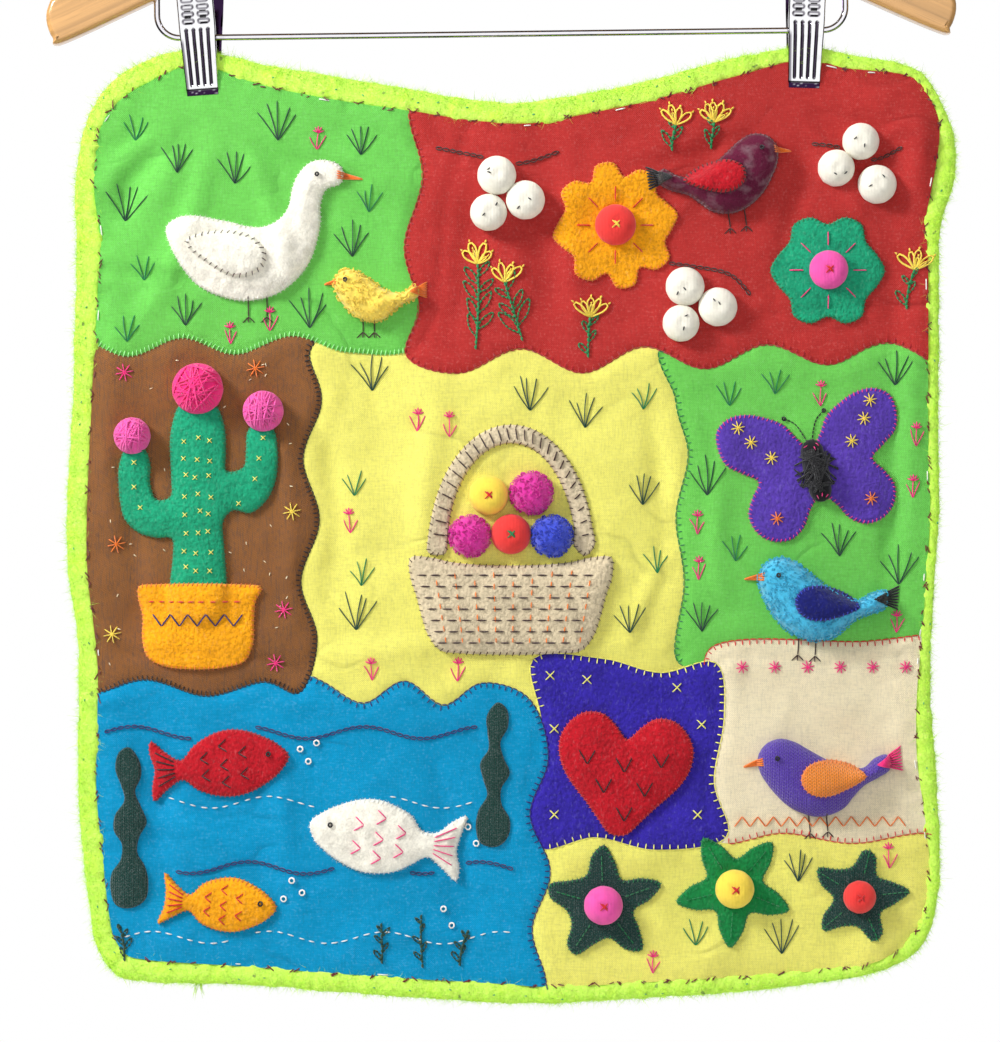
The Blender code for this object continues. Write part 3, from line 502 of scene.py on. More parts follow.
class Surface:
    """What has been made so far, so that the next piece or stitch can be laid on it."""

    def __init__(self):
        self.trees = []

    def add(self, made):
        mesh = made.data
        mesh.calc_loop_triangles()
        verts = [v.co for v in mesh.vertices]
        tree = BVHTree.FromPolygons(verts, [tuple(t.vertices) for t in mesh.loop_triangles])
        ends = [(f(v.x for v in verts), f(v.z for v in verts)) for f in (min, max)]
        self.trees.append((tree, *ends))

    def height(self, points):
        """The height in mm of the highest surface at each (u, v), or NaN where there is none."""
        found = np.full(len(points), np.nan)
        towards = Vector((0, 1, 0))
        for i, (u, v) in enumerate(points):
            start = place(u, v, 80)
            best = None
            for tree, low, high in self.trees:
                if low[0] <= start.x <= high[0] and low[1] <= start.z <= high[1]:
                    hit = tree.ray_cast(start, towards)[0]
                    if hit is not None and (best is None or hit.y < best):
                        best = hit.y
            if best is not None:
                found[i] = -best * 1000
        return found


SURFACE = Surface()


def lumps(points, size, seed=0.0):
    """Smooth noise from -1 to 1 at each (u, v), with bumps about size mm across."""
    return np.array([noise.noise(Vector((u / size, v / size, seed))) for u, v in points])


class Nodes:
    """Puts a node tree together, one node after another."""

    def __init__(self, tree):
        self.tree = tree

    def node(self, kind, inputs=(), **settings):
        """A new node with these settings. Its inputs are linked to a socket or given a value."""
        made = self.tree.nodes.new(kind)
        for key, value in settings.items():
            setattr(made, key, value)
        for key, value in dict(inputs).items():
            if isinstance(value, bpy.types.NodeSocket):
                self.tree.links.new(value, made.inputs[key])
            else:
                made.inputs[key].default_value = value
        return made

    def maths(self, operation, a, b=0.0):
        return self.node("ShaderNodeMath", {0: a, 1: b}, operation=operation).outputs[0]

    def ramp(self, value, low, high, least=0.0, most=1.0):
        """The value spread so that low becomes least and high becomes most."""
        return self.node("ShaderNodeMapRange", {"Value": value, "From Min": low, "From Max": high,
                                                "To Min": least, "To Max": most}).outputs[0]


class Finish(Nodes):
    """A Principled material. Patterns read Object coordinates."""

    def __init__(self, name, colour, roughness, **shader):
        self.material = bpy.data.materials.new(name)
        self.material.use_nodes = True
        super().__init__(self.material.node_tree)
        self.shader = self.tree.nodes["Principled BSDF"]
        self.colour = colour
        self.shader.inputs["Base Color"].default_value = (*colour, 1)
        self.shader.inputs["Roughness"].default_value = roughness
        for key, value in shader.items():
            self.shader.inputs[key.replace("_", " ")].default_value = value
        self.coords = self.tree.nodes.new("ShaderNodeTexCoord").outputs["Object"]
        self.paint = None
        self.relief = None

    def axes(self):
        return self.node("ShaderNodeSeparateXYZ", {0: self.coords}).outputs

    def grain(self, scale, stretch=(1, 1, 1), detail=2.0, turn=0.0):
        """Noise from 0 to 1 whose cells are 1 / scale metres, shrunk along each axis by stretch."""
        mapped = self.node("ShaderNodeMapping", {"Vector": self.coords, "Rotation": (0, turn, 0),
                                                 "Scale": stretch}).outputs[0]
        made = self.node("ShaderNodeTexNoise", {"Vector": mapped, "Scale": scale, "Detail": detail})
        return made.outputs["Fac"]

    def wave(self, value, length, shift=0.0):
        """A sine wave along a coordinate, this many mm long."""
        angle = self.maths("MULTIPLY", value, 2 * math.pi / mm(length))
        return self.maths("SINE", self.maths("ADD", angle, shift))

    def tint(self, amount, colour):
        """Mixes another colour in, by an amount from 0 to 1."""
        base = self.paint if self.paint else (*self.colour, 1)
        mixed = self.node("ShaderNodeMix", {"Factor": amount, "A": base, "B": (*colour, 1)}, data_type="RGBA")
        self.paint = mixed.outputs["Result"]

    def mottle(self, pattern, low, high, amount, tone):
        """Mixes up to that amount of a tone in where the pattern is near high, and none where it is near
        low. The tone is a colour, or how light it is beside the cloth's own."""
        colour = tone if isinstance(tone, tuple) else shade(self.colour, tone)
        self.tint(self.maths("MULTIPLY", self.ramp(pattern, low, high), amount), colour)

    def emboss(self, value, share):
        """Adds to the height that the bump is worked out from."""
        part = self.maths("MULTIPLY", value, share)
        self.relief = self.maths("ADD", self.relief, part) if self.relief else part

    def done(self, depth, strength=0.6):
        """The finished material, with its bump this many mm deep."""
        if self.paint:
            self.tree.links.new(self.paint, self.shader.inputs["Base Color"])
        if self.relief:
            bumped = self.node("ShaderNodeBump", {"Strength": strength, "Distance": mm(depth),
                                                  "Height": self.relief})
            self.tree.links.new(bumped.outputs["Normal"], self.shader.inputs["Normal"])
        return self.material


def shade(colour, share):
    """A darker or lighter version of a colour."""
    if share <= 1:
        return tuple(c * share for c in colour)
    return tuple(min(1.0, c + (1 - c) * (share - 1)) for c in colour)


def muslin(name, colour):
    """Plain-woven cotton: threads over and under each other, with thicker slubs, flecks and thin wrinkles, with
    painted shade along the wrinkles.
    """
    made = Finish(name, colour, 0.95, Specular_IOR_Level=0.12, Sheen_Weight=0.04, Sheen_Roughness=0.5)
    x, _, z = made.axes()
    thread_pitch = 0.95
    wander = made.maths("MULTIPLY", made.grain(70), 5.0)
    over = made.maths("MULTIPLY", made.wave(x, thread_pitch, wander), made.wave(z, thread_pitch, wander))
    warp = made.grain(380, (4.0, 1, 0.5), 3)
    weft = made.grain(380, (0.5, 1, 4.0), 3)
    made.mottle(warp, 0.44, 0.76, 0.45, 0.62)
    made.mottle(weft, 0.44, 0.76, 0.45, 0.68)
    made.mottle(weft, 0.46, 0.22, 0.20, 1.12)
    made.mottle(over, 0.0, -1.0, 0.42, 0.52)
    made.mottle(made.grain(16, detail=4), 0.42, 0.72, 0.22, 0.66)
    made.mottle(made.grain(900), 0.56, 0.72, 0.26, 1.16)
    made.mottle(made.grain(800), 0.44, 0.30, 0.40, 0.66)
    away = made.maths("ABSOLUTE", made.maths("SUBTRACT", made.grain(9, (1, 1, 1.7), 3, 0.5), 0.5))
    wrinkle_and_shade = made.maths("MULTIPLY", made.ramp(away, 0.020, 0.0), made.ramp(made.grain(21), 0.46, 0.60))
    # Painted shade: darkens the colour along the thin wrinkles that the bump sinks.
    made.mottle(wrinkle_and_shade, 0.0, 1.0, 0.26, 0.55)
    made.emboss(wrinkle_and_shade, -1.6)
    made.emboss(over, 0.30)
    made.emboss(warp, 0.45)
    made.emboss(weft, 0.45)
    made.emboss(made.grain(60, detail=5), 3.2)
    return made.done(0.6, 0.8)


def twill(name, colour):
    """Two-tone twill: slanting ribs of a warm thread over a cooler one."""
    made = Finish(name, colour, 0.95, Specular_IOR_Level=0.12, Sheen_Weight=0.04)
    x, _, z = made.axes()
    rib = made.wave(made.maths("ADD", made.maths("MULTIPLY", x, 0.62), z), 1.05)
    broken = made.grain(620, (1.8, 1, 0.7))
    made.mottle(rib, -0.3, 1.0, 0.60, (0.40, 0.160, 0.058))
    made.mottle(broken, 0.50, 0.66, 0.50, (0.130, 0.076, 0.055))
    made.mottle(made.grain(300, (7.0, 1, 0.22)), 0.52, 0.78, 1.0, (0.135, 0.078, 0.056))
    made.mottle(made.grain(300, (0.22, 1, 7.0)), 0.54, 0.78, 1.0, (0.250, 0.108, 0.052))
    made.mottle(made.grain(14, detail=3), 0.45, 0.75, 0.30, 0.55)
    made.emboss(rib, 0.35)
    made.emboss(broken, 0.7)
    made.emboss(made.grain(60, detail=5), 3.0)
    return made.done(0.6, 0.8)


def felt(name, colour):
    """Pressed wool felt: matted fibres, slightly mottled, with pale fluff."""
    made = Finish(name, colour, 0.97, Specular_IOR_Level=0.10, Sheen_Weight=0.12, Sheen_Roughness=0.6)
    made.mottle(made.grain(560, detail=4), 0.42, 0.70, 0.72, 0.58)
    made.mottle(made.grain(900, (1, 1, 0.5), 3, 0.7), 0.56, 0.72, 0.38, 1.10)
    made.mottle(made.grain(900, (0.4, 1, 1), 3, 0.4), 0.54, 0.70, 0.60, 0.56)
    made.mottle(made.grain(60, detail=4), 0.42, 0.68, 0.42, 0.58)
    made.emboss(made.grain(560, detail=5), 1.0)
    made.emboss(made.grain(900, (1, 1, 0.3), 3, -0.6), 0.5)
    made.emboss(made.grain(70, detail=4), 3.0)
    return made.done(0.8, 0.9)


def fleece(name, colour):
    """Brushed fleece: clumped pile, with painted shade in soft grey blotches for its hollows."""
    made = Finish(name, colour, 0.97, Specular_IOR_Level=0.1, Sheen_Weight=0.35, Sheen_Roughness=0.7)
    # Painted shade: grey blotches that stand for the hollows between the clumps.
    made.mottle(made.grain(190, detail=5), 0.54, 0.36, 0.50, 0.62)
    made.mottle(made.grain(900, detail=3), 0.58, 0.42, 0.35, 0.66)
    made.emboss(made.grain(220, detail=5), 1.4)
    made.emboss(made.grain(1000, detail=4), 0.5)
    return made.done(0.9, 0.75)


def velvet(name, colour):
    """Velvet: dark pile with the shader's sheen, and painted sheen in lighter blotches where it is brushed over.
    """
    made = Finish(name, colour, 0.9, Specular_IOR_Level=0.2, Sheen_Weight=0.6, Sheen_Roughness=0.35)
    # Painted sheen: lighter blotches of the velvet's own colour.
    made.mottle(made.grain(160, detail=4), 0.48, 0.72, 1.0, 1.10)
    made.mottle(made.grain(800, detail=3), 0.5, 0.7, 0.5, 0.45)
    made.emboss(made.grain(600, detail=5), 1.0)
    return made.done(0.6, 0.7)


def knit(name, colour):
    """Stocking stitch in fine yarn: columns of V shapes."""
    made = Finish(name, colour, 0.93, Specular_IOR_Level=0.2, Sheen_Weight=0.25)
    x, _, z = made.axes()
    half_column, row = 1.1, 1.5
    wale = made.maths("PINGPONG", x, mm(half_column))
    stitch = made.wave(made.maths("ADD", z, made.maths("MULTIPLY", wale, 1.1)), row)
    loop = made.maths("ADD", made.maths("MULTIPLY", stitch, 0.5), made.wave(wale, 2 * half_column))
    made.mottle(loop, 0.9, -0.2, 0.7, 0.42)
    made.mottle(made.grain(1500, detail=3), 0.5, 0.75, 0.4, 1.25)
    made.emboss(loop, 0.7)
    made.emboss(made.grain(1400, detail=3), 0.35)
    return made.done(0.7, 0.8)


def jersey(name, colour):
    """Fine cotton jersey pulled over stuffing: tiny ribs and soft puckers."""
    made = Finish(name, colour, 0.88, Specular_IOR_Level=0.25, Sheen_Weight=0.2)
    rib = made.wave(made.axes()[0], 0.7)
    made.mottle(rib, 0.2, -1, 0.22, 0.72)
    made.mottle(made.grain(240, detail=4), 0.48, 0.72, 0.42, 0.66)
    made.emboss(rib, 0.2)
    made.emboss(made.grain(260, detail=4), 0.9)
    return made.done(0.5, 0.6)


def yarn(name, colour):
    """Spun thread or yarn: twisted plies, with painted highlights in light specks for their crowns."""
    made = Finish(name, colour, 0.8, Specular_IOR_Level=0.3, Sheen_Weight=0.25)
    made.mottle(made.grain(1400, detail=3), 0.42, 0.62, 0.5, 0.62)
    # Painted highlight: light specks that stand for the crowns of the plies.
    made.mottle(made.grain(2300), 0.52, 0.72, 0.4, 1.2)
    made.emboss(made.grain(1800, (1, 1, 0.5), 3, 0.5), 1.0)
    return made.done(0.25, 0.6)


def brushed(name, colour):
    """The edging's brushed yarn: glowing yellow-green with paler and greener wisps."""
    made = Finish(name, colour, 0.97, Specular_IOR_Level=0.05, Sheen_Weight=0.1, Sheen_Roughness=0.6)
    made.mottle(made.grain(150, detail=5), 0.48, 0.70, 0.6, (0.58, 0.90, 0.06))
    made.mottle(made.grain(1300, (1, 1, 0.4), 4, 0.8), 0.50, 0.70, 0.45, (0.26, 0.60, 0.04))
    made.mottle(made.grain(1500, (0.4, 1, 1), 4, 0.4), 0.56, 0.70, 0.6, (0.80, 0.92, 0.25))
    made.mottle(made.grain(240, detail=3), 0.69, 0.74, 0.7, (0.10, 0.18, 0.07))
    made.emboss(made.grain(700, detail=4), 1.0)
    return made.done(0.8, 0.6)


def varnished_wood(name, colour):
    """Varnished beech, its grain along the slope of each arm."""
    made = Finish(name, colour, 0.28, Specular_IOR_Level=0.5, Coat_Weight=0.5, Coat_Roughness=0.12)
    x, y, z = made.axes()
    slope = 0.45
    across = made.maths("ADD", z, made.maths("MULTIPLY", made.maths("ABSOLUTE", x), slope))
    stretched = {k: made.maths("MULTIPLY", value, scale)
                 for k, (value, scale) in enumerate(((x, 9.0), (y, 200.0), (across, 260.0)))}
    grain = made.node("ShaderNodeCombineXYZ", stretched).outputs[0]
    rings = made.node("ShaderNodeTexNoise", {"Vector": grain, "Scale": 1.0, "Detail": 5.0}).outputs["Fac"]
    fine = made.node("ShaderNodeTexNoise", {"Vector": grain, "Scale": 4.5, "Detail": 3.0}).outputs["Fac"]
    made.mottle(rings, 0.40, 0.72, 1.0, 0.62)
    made.mottle(fine, 0.60, 0.75, 0.5, 0.45)
    made.emboss(fine, 0.4)
    return made.done(0.15, 0.25)


def polished_steel(name, colour, roughness, painted_shade_colour=None):
    """Chrome with faint wiping marks and tiny pits, and painted shade where its points ask for it, as in the
    clips' grooves.
    """
    made = Finish(name, colour, roughness, Metallic=1.0)
    made.mottle(made.grain(300, detail=4), 0.58, 0.8, 0.35, 0.6)
    wiped = made.maths("MULTIPLY", made.ramp(made.grain(220, (1, 1, 0.1), 3), 0.35, 0.75), 0.12)
    made.tree.links.new(made.maths("ADD", wiped, roughness), made.shader.inputs["Roughness"])
    # Painted shade: a dark colour mixed in by a point attribute.
    if painted_shade_colour:
        made.tint(made.node("ShaderNodeAttribute", attribute_name="painted_shade").outputs["Fac"], painted_shade_colour)
    made.emboss(made.grain(150), 1.0)
    return made.done(0.05, 0.12)


WEAVES = {"muslin": muslin, "twill": twill, "felted": felt, "felt": felt, "fleece": fleece, "velvet": velvet,
          "velour": knit, "knit": knit, "jersey": jersey, "terry": fleece, "thread": yarn}


def cloth(colour, weave):
    """The material of that colour and weave, made once."""
    name = f"cloth_{colour}_{weave}"
    return bpy.data.materials.get(name) or WEAVES[weave](name, COLOURS[colour])


class Tree(Nodes):
    """A Geometry Nodes tree with named inputs, and one for the material."""

    def __init__(self, name, inputs):
        super().__init__(bpy.data.node_groups.new(name, "GeometryNodeTree"))
        self.sockets = {}
        ends = self.tree.interface
        for label, kind in {"Geometry": "Geometry", **inputs, "Material": "Material"}.items():
            made = ends.new_socket(label, in_out="INPUT", socket_type=f"NodeSocket{kind}")
            self.sockets[label] = made.identifier
        ends.new_socket("Geometry", in_out="OUTPUT", socket_type="NodeSocketGeometry")
        self.inputs = self.tree.nodes.new("NodeGroupInput").outputs

    def random(self, low, high, seed, vector=False):
        """A random number or vector for each element, from low to high."""
        first, result = (0, 0) if vector else (2, 1)
        return self.node("FunctionNodeRandomValue", {first: low, first + 1: high, "Seed": seed},
                         data_type="FLOAT_VECTOR" if vector else "FLOAT").outputs[result]

    def scattered(self, item, lean, shares, size, seeds):
        """Ends with the item all over the surface. Each leans off the normal by up to lean, is spun, and is
        between two shares of size. The three seeds are for lean, spin and size."""
        spread = self.node("GeometryNodeDistributePointsOnFaces", {
            "Mesh": self.inputs["Geometry"], "Density": self.inputs["Density"], "Seed": self.inputs["Seed"]})
        any_way = self.random((-1, -1, -1), (1, 1, 1), seeds[0], True)
        leaning = self.node("ShaderNodeVectorMath", {0: any_way, "Scale": lean}, operation="SCALE").outputs[0]
        aim = self.node("ShaderNodeVectorMath", {0: spread.outputs["Normal"], 1: leaning}, operation="ADD")
        facing = self.node("FunctionNodeAlignRotationToVector", {"Vector": aim.outputs[0]}, axis="Z").outputs[0]
        spin = self.node("FunctionNodeAxisAngleToRotation", {
            "Axis": (0, 0, 1), "Angle": self.random(0, 6.283, seeds[1])}).outputs[0]
        facing = self.node("FunctionNodeRotateRotation", {"Rotation": facing, "Rotate By": spin},
                           rotation_space="LOCAL").outputs[0]
        scale = self.maths("MULTIPLY", self.random(*shares, seeds[2]), size)
        return self.end(self.node("GeometryNodeInstanceOnPoints", {
            "Points": spread.outputs[0], "Instance": item, "Rotation": facing, "Scale": scale}).outputs[0])

    def end(self, geometry):
        """Ends in realized instances with their material."""
        real = self.node("GeometryNodeRealizeInstances", {"Geometry": geometry}).outputs[0]
        smooth = self.node("GeometryNodeSetShadeSmooth", {"Geometry": real}).outputs[0]
        painted = self.node("GeometryNodeSetMaterial", {"Geometry": smooth, "Material": self.inputs["Material"]})
        out = self.tree.nodes.new("NodeGroupOutput")
        self.tree.links.new(painted.outputs[0], out.inputs[0])
        return self


def thread_tree():
    """Turns guide lines into thread. Each point's girth scales the thread's radius there."""
    tree = Tree("thread_along_guides", {"Radius": "Float", "Sides": "Int"})
    line = tree.node("GeometryNodeMeshToCurve", {"Mesh": tree.inputs["Geometry"]}).outputs[0]
    girth = tree.node("GeometryNodeInputNamedAttribute", {"Name": "girth"}, data_type="FLOAT").outputs[0]
    ring = tree.node("GeometryNodeCurvePrimitiveCircle", {"Resolution": tree.inputs["Sides"], "Radius": 1.0})
    tube = tree.node("GeometryNodeCurveToMesh", {
        "Curve": line, "Profile Curve": ring.outputs[0], "Fill Caps": True,
        "Scale": tree.maths("MULTIPLY", girth, tree.inputs["Radius"])})
    return tree.end(tube.outputs[0])


def fur_tree():
    """Scatters fine curling fibres over a surface, leaning every way."""
    tree = Tree("brushed_fibres", {"Density": "Float", "Length": "Float", "Width": "Float", "Lean": "Float",
                                   "Curl": "Float", "Points": "Int", "Seed": "Int"})
    line = tree.node("GeometryNodeCurvePrimitiveLine", {"End": (0, 0, 1)}).outputs[0]
    line = tree.node("GeometryNodeResampleCurve", {"Curve": line, "Count": tree.inputs["Points"]}).outputs[0]
    along = tree.node("GeometryNodeSplineParameter").outputs["Factor"]
    bend = tree.maths("MULTIPLY", tree.maths("POWER", along, 2.0), tree.inputs["Curl"])
    offset = tree.node("ShaderNodeCombineXYZ", {0: bend}).outputs[0]
    line = tree.node("GeometryNodeSetPosition", {"Geometry": line, "Offset": offset}).outputs[0]
    width = tree.maths("MULTIPLY", tree.maths("SUBTRACT", 1.15, along), tree.inputs["Width"])
    strip = tree.node("GeometryNodeCurvePrimitiveLine", {"Start": (-0.5, 0, 0), "End": (0.5, 0, 0)})
    fibre = tree.node("GeometryNodeCurveToMesh", {"Curve": line, "Profile Curve": strip.outputs[0],
                                                  "Scale": width}).outputs[0]
    return tree.scattered(fibre, tree.inputs["Lean"], (0.45, 1.15), tree.inputs["Length"], (11, 23, 31))


def loop_tree():
    """Scatters small closed loops over a surface, as terry has."""
    tree = Tree("terry_loops", {"Density": "Float", "Size": "Float", "Seed": "Int"})
    ring = tree.node("GeometryNodeCurvePrimitiveCircle", {"Resolution": 5, "Radius": 1.0}).outputs[0]
    turned = tree.node("GeometryNodeTransform", {"Geometry": ring, "Translation": (0, 0, 0.5),
                                                 "Rotation": (math.pi / 2, 0, 0), "Scale": (0.8, 1, 1)})
    thread = tree.node("GeometryNodeCurvePrimitiveCircle", {"Resolution": 3, "Radius": 0.34}).outputs[0]
    loop = tree.node("GeometryNodeCurveToMesh", {"Curve": turned.outputs[0], "Profile Curve": thread})
    return tree.scattered(loop.outputs[0], 0.5, (0.75, 1.25), tree.inputs["Size"], (5, 13, 17))


TREES = {}


def grown(name, base, make, values):
    """A plain mesh object from a base object and a Geometry Nodes tree, which is made once."""
    if make not in TREES:
        TREES[make] = make()
    setup = TREES[make]
    modifier = base.modifiers.new("pattern", "NODES")
    modifier.node_group = setup.tree
    for label, value in values.items():
        modifier[setup.sockets[label]] = value
    base.update_tag()
    graph = bpy.context.evaluated_depsgraph_get()
    mesh = bpy.data.meshes.new_from_object(base.evaluated_get(graph))
    base.modifiers.remove(modifier)
    mesh.name = name
    if not mesh.materials:
        mesh.materials.append(values["Material"])
    return linked(name, mesh)


def sewn(made, slot=None, replaces=()):
    """Marks a finished piece: it rides with the part, and it may stand for solids. Its slot is not used."""
    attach(made, "root")
    if replaces:
        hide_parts(*replaces)
    return made


def carrier(node, outline):
    """What a figure is sewn to: the highest piece under its middle, or the ground patch there."""
    middle = outline.mean(0)[None]
    under = [name for name, rim in OUTLINES.items() if name not in ("cloth", node) and is_inside(middle, rim)[0]]
    return f"{under[-1]}_cloth" if under else list(PATCHES)[ground_label(middle)[0]]


# The least share of its flat box that a sheet's area takes, and the least width of a strip.
LEAST_AREA_SHARE = 0.31
LEAST_WIDTH = 0.01


def sheet(node, outline):
    """Works out the width, length and area of a sewn piece of cloth from the outline that it was cut to, in mm,
    and what it is sewn to, but keeps none of them. A strip that runs round its own middle is given by its length
    along itself."""
    width, length = (mm(side) for side in outline.max(0) - outline.min(0))
    area = abs(area_of(outline)) * 1e-6
    if area < LEAST_AREA_SHARE * width * length:
        length = mm(np.linalg.norm(closed_line(outline)[1:] - outline, axis=1).sum()) / 2
        width = max(area / length, LEAST_WIDTH)
        area = min(area, width * length)
    carrier(node, outline)


def slot_of(node):
    return next(row["material_slot"] for row in frame["record"]["subparts"] if row["node"] == node)


def sizes():
    return bpy.context.scene.textile_sizes


def colours():
    return bpy.context.scene.textile_colours


def spun(name, verts, edges, girths, radius, material):
    """A finished piece of thread along guide lines."""
    mesh = plain_mesh("guide", verts, edges, [])
    mesh.attributes.new("girth", "FLOAT", "POINT").data.foreach_set("value", girths)
    guide = linked("guide", mesh)
    made = sewn(grown(name, guide, thread_tree, {"Radius": radius, "Sides": 3, "Material": material}))
    bpy.data.objects.remove(guide)
    return made


class Stitches:
    """Guides for thread, gathered by colour: lines in (u, v) laid on whatever is there."""

    def __init__(self):
        self.guides = {}

    def line(self, thread, points, girth=1.0, arch=0.35, sunk=True, count=None):
        """One stitch or loop: its ends dip into the cloth, and its middle stands arch mm above it."""
        points = np.array(points, float)
        length = np.linalg.norm(np.diff(points, axis=0), axis=1).sum()
        steps = count or max(3, min(14, int(length / 1.2) + 2))
        fine = spaced(points, length / steps)
        share = np.linspace(0, 1, len(fine))
        self.guides.setdefault(thread, []).append((fine, girth, arch * np.sin(np.pi * share) ** 0.5, sunk))

    def make(self, radius):
        """One piece of thread for each colour. A stitch that leaves the cloth is dropped."""
        for thread in sorted(self.guides):
            verts, edges, girths = [], [], []
            for fine, girth, arch, sunk in self.guides[thread]:
                heights = SURFACE.height(fine)
                if np.isnan(heights).any():
                    continue
                lift = arch + radius * 1000 * girth * 0.55
                if sunk:
                    lift[0], lift[-1] = -0.25, -0.25
                first = len(verts)
                verts += [place(u, v, h + up) for (u, v), h, up in zip(fine, heights, lift)]
                edges += [(first + i, first + i + 1) for i in range(len(fine) - 1)]
                ends = np.ones(len(fine))
                ends[0] = ends[-1] = 0.6
                girths += list(girth * ends)
            if verts:
                spun(f"stitches_{thread}", verts, edges, girths, radius, cloth(thread, "thread"))


STITCHES = Stitches()
RNG = np.random.default_rng(11)
OUTLINES = {}
TAKEN = []


def turned_about(points, angle, centre):
    c, s = math.cos(angle), math.sin(angle)
    return np.array(points, float) @ np.array([[c, s], [-s, c]]) + np.array(centre, float)


def tuft(at, height, thread, blades=5, spread=0.62, flower=None):
    """Grass: straight stitches that fan out of one hole."""
    angles = np.linspace(-spread, spread, blades) + RNG.normal(0, 0.05, blades)
    for k, angle in enumerate(angles):
        reach = height * (0.72 + 0.28 * math.cos(angle * 1.6)) * RNG.uniform(0.85, 1.1)
        tip = (at[0] + reach * math.sin(angle), at[1] + reach * math.cos(angle))
        middle = ((at[0] + tip[0]) / 2 + RNG.normal(0, 0.35), (at[1] + tip[1]) / 2)
        STITCHES.line(thread, spline([at, middle, tip], 2.5, False), 0.85, 0.3)
        if flower and k == blades // 2:
            for petal in np.linspace(-1.2, 1.2, 5):
                end = (tip[0] + 3.0 * math.sin(petal), tip[1] + 3.4 * math.cos(petal))
                STITCHES.line(flower, [tip, end], 1.0, 0.4)


def lazy_loop(at, angle, length, width, thread, girth):
    """A lazy-daisy stitch: a loop held at its tip by a small stitch."""
    side = [(width * 0.7, length * 0.35), (width, length * 0.72)]
    loop = [(0, 0), *((-x, y) for x, y in side), (0, length), *side[::-1], (0, 0)]
    STITCHES.line(thread, turned_about(spline(loop, 1.6, False), -angle, at), girth, 0.35, count=11)
    tip = turned_about([(0, length - 0.3), (0, length + 1.2)], -angle, at)
    STITCHES.line(thread, tip, girth, 0.4)


def daisy(at, length, thread):
    """An open flower of three to five lazy-daisy loops in thick thread, some with another loop inside."""
    count = int(RNG.integers(3, 6))
    for angle in np.linspace(-0.85, 0.85, count) if count > 3 else (-0.6, 0.05, 0.65):
        angle += RNG.normal(0, 0.08)
        size = length * RNG.uniform(0.85, 1.12)
        lazy_loop(at, angle, size, RNG.uniform(1.3, 1.9), thread, 1.45)
        if RNG.random() < 0.5:
            lazy_loop(at, angle + 0.04, size * 0.66, 0.6, thread, 1.3)


def back_stitch(points, thread, stitch=2.8, girth=0.95, gap=0.12):
    """Small stitches end to end along a line."""
    line = spaced(np.array(points, float), stitch)
    for a, b in zip(line[:-1], line[1:]):
        STITCHES.line(thread, [a + (b - a) * gap, b], girth, 0.3, count=3)


def sprig(at, length, lean, thread="green", flower="canary", leaves=6, leaf=11.0):
    """A leafy stem in back stitch with outlined leaves left and right, and a flower at its top."""
    bend = RNG.uniform(-0.12, 0.12)
    line = [(length * t * math.sin(lean + bend * t * 2), length * t * math.cos(lean + bend * t * 2))
            for t in np.linspace(0, 1, 7)]
    stem = spline(np.array(line) + np.array(at, float), 2.0, False)
    back_stitch(stem, thread, 2.4, 1.9)
    for k in range(leaves):
        share = 0.16 + 0.72 * k / max(leaves - 1, 1)
        root = stem[int(share * (len(stem) - 1))]
        side = 1 if k % 2 else -1
        angle = lean + side * RNG.uniform(0.42, 0.80)
        size = leaf * (1.05 - 0.40 * share) * RNG.uniform(0.85, 1.15)
        half = size * 0.15
        outline = [(0, 0), (-half, size * 0.45), (0, size), (half, size * 0.5), (0, 0)]
        back_stitch(turned_about(spline(outline, 1.5, False), -angle, root), thread, 2.2, 1.35)
    if flower:
        daisy(stem[-1], 10.5, flower)
    return stem


def thread_star(at, radius, thread, rays=8):
    """Straight stitches crossing at one point."""
    for angle in np.linspace(0, math.pi, rays // 2, False) + 0.2:
        arm = np.array([math.cos(angle), math.sin(angle)]) * radius
        STITCHES.line(thread, [at - arm, at + arm], 0.9, 0.5)


def cross(at, size, thread, girth=1.0):
    at = np.array(at, float)
    for slope in (1, -1):
        arm = np.array([size, size * slope])
        STITCHES.line(thread, [at - arm, at + arm], girth, 0.35)


def chain(points, thread, link=3.4, width=0.85):
    """Chain stitch: small loops, each out of the last."""
    line = spaced(np.array(points, float), link)
    for a, b in zip(line[:-1], line[1:]):
        ahead = b - a
        side = np.array([-ahead[1], ahead[0]]) / max(np.linalg.norm(ahead), 1e-6) * width
        loop = [a, a + ahead * 0.5 + side, b + ahead * 0.12, a + ahead * 0.5 - side, a]
        STITCHES.line(thread, spline(loop, 1.2, False), 0.9, 0.3, count=8)


def running(points, thread, stitch=3.2, gap=2.2, girth=1.0):
    """Running stitch: a dash, a gap, a dash."""
    line = np.array(points, float)
    length = np.linalg.norm(np.diff(line, axis=0), axis=1).sum()
    fine = spaced(line, 0.5)
    step = length / max(len(fine) - 1, 1)
    at = 0.0
    while at + stitch < length:
        first, last = int(at / step), int((at + stitch) / step)
        STITCHES.line(thread, fine[first:last + 1], girth, 0.3, count=3)
        at += (stitch + gap) * RNG.uniform(0.9, 1.1)


def knot(at, thread, radius=0.9):
    """A French knot: one and a half turns of thread that stand up from the cloth."""
    turns = [(at[0] + radius * math.cos(a), at[1] + radius * math.sin(a)) for a in np.linspace(0, 9.4, 12)]
    STITCHES.line(thread, turns, 1.15, 0.7, sunk=False, count=11)


def zigzag(start, end, rise, points, thread, girth=1.0):
    line = [np.array(start, float) + (np.array(end, float) - np.array(start, float)) * k / points
            + np.array([0, rise if k % 2 else 0]) for k in range(points + 1)]
    for a, b in zip(line[:-1], line[1:]):
        STITCHES.line(thread, [a, b], girth, 0.35)


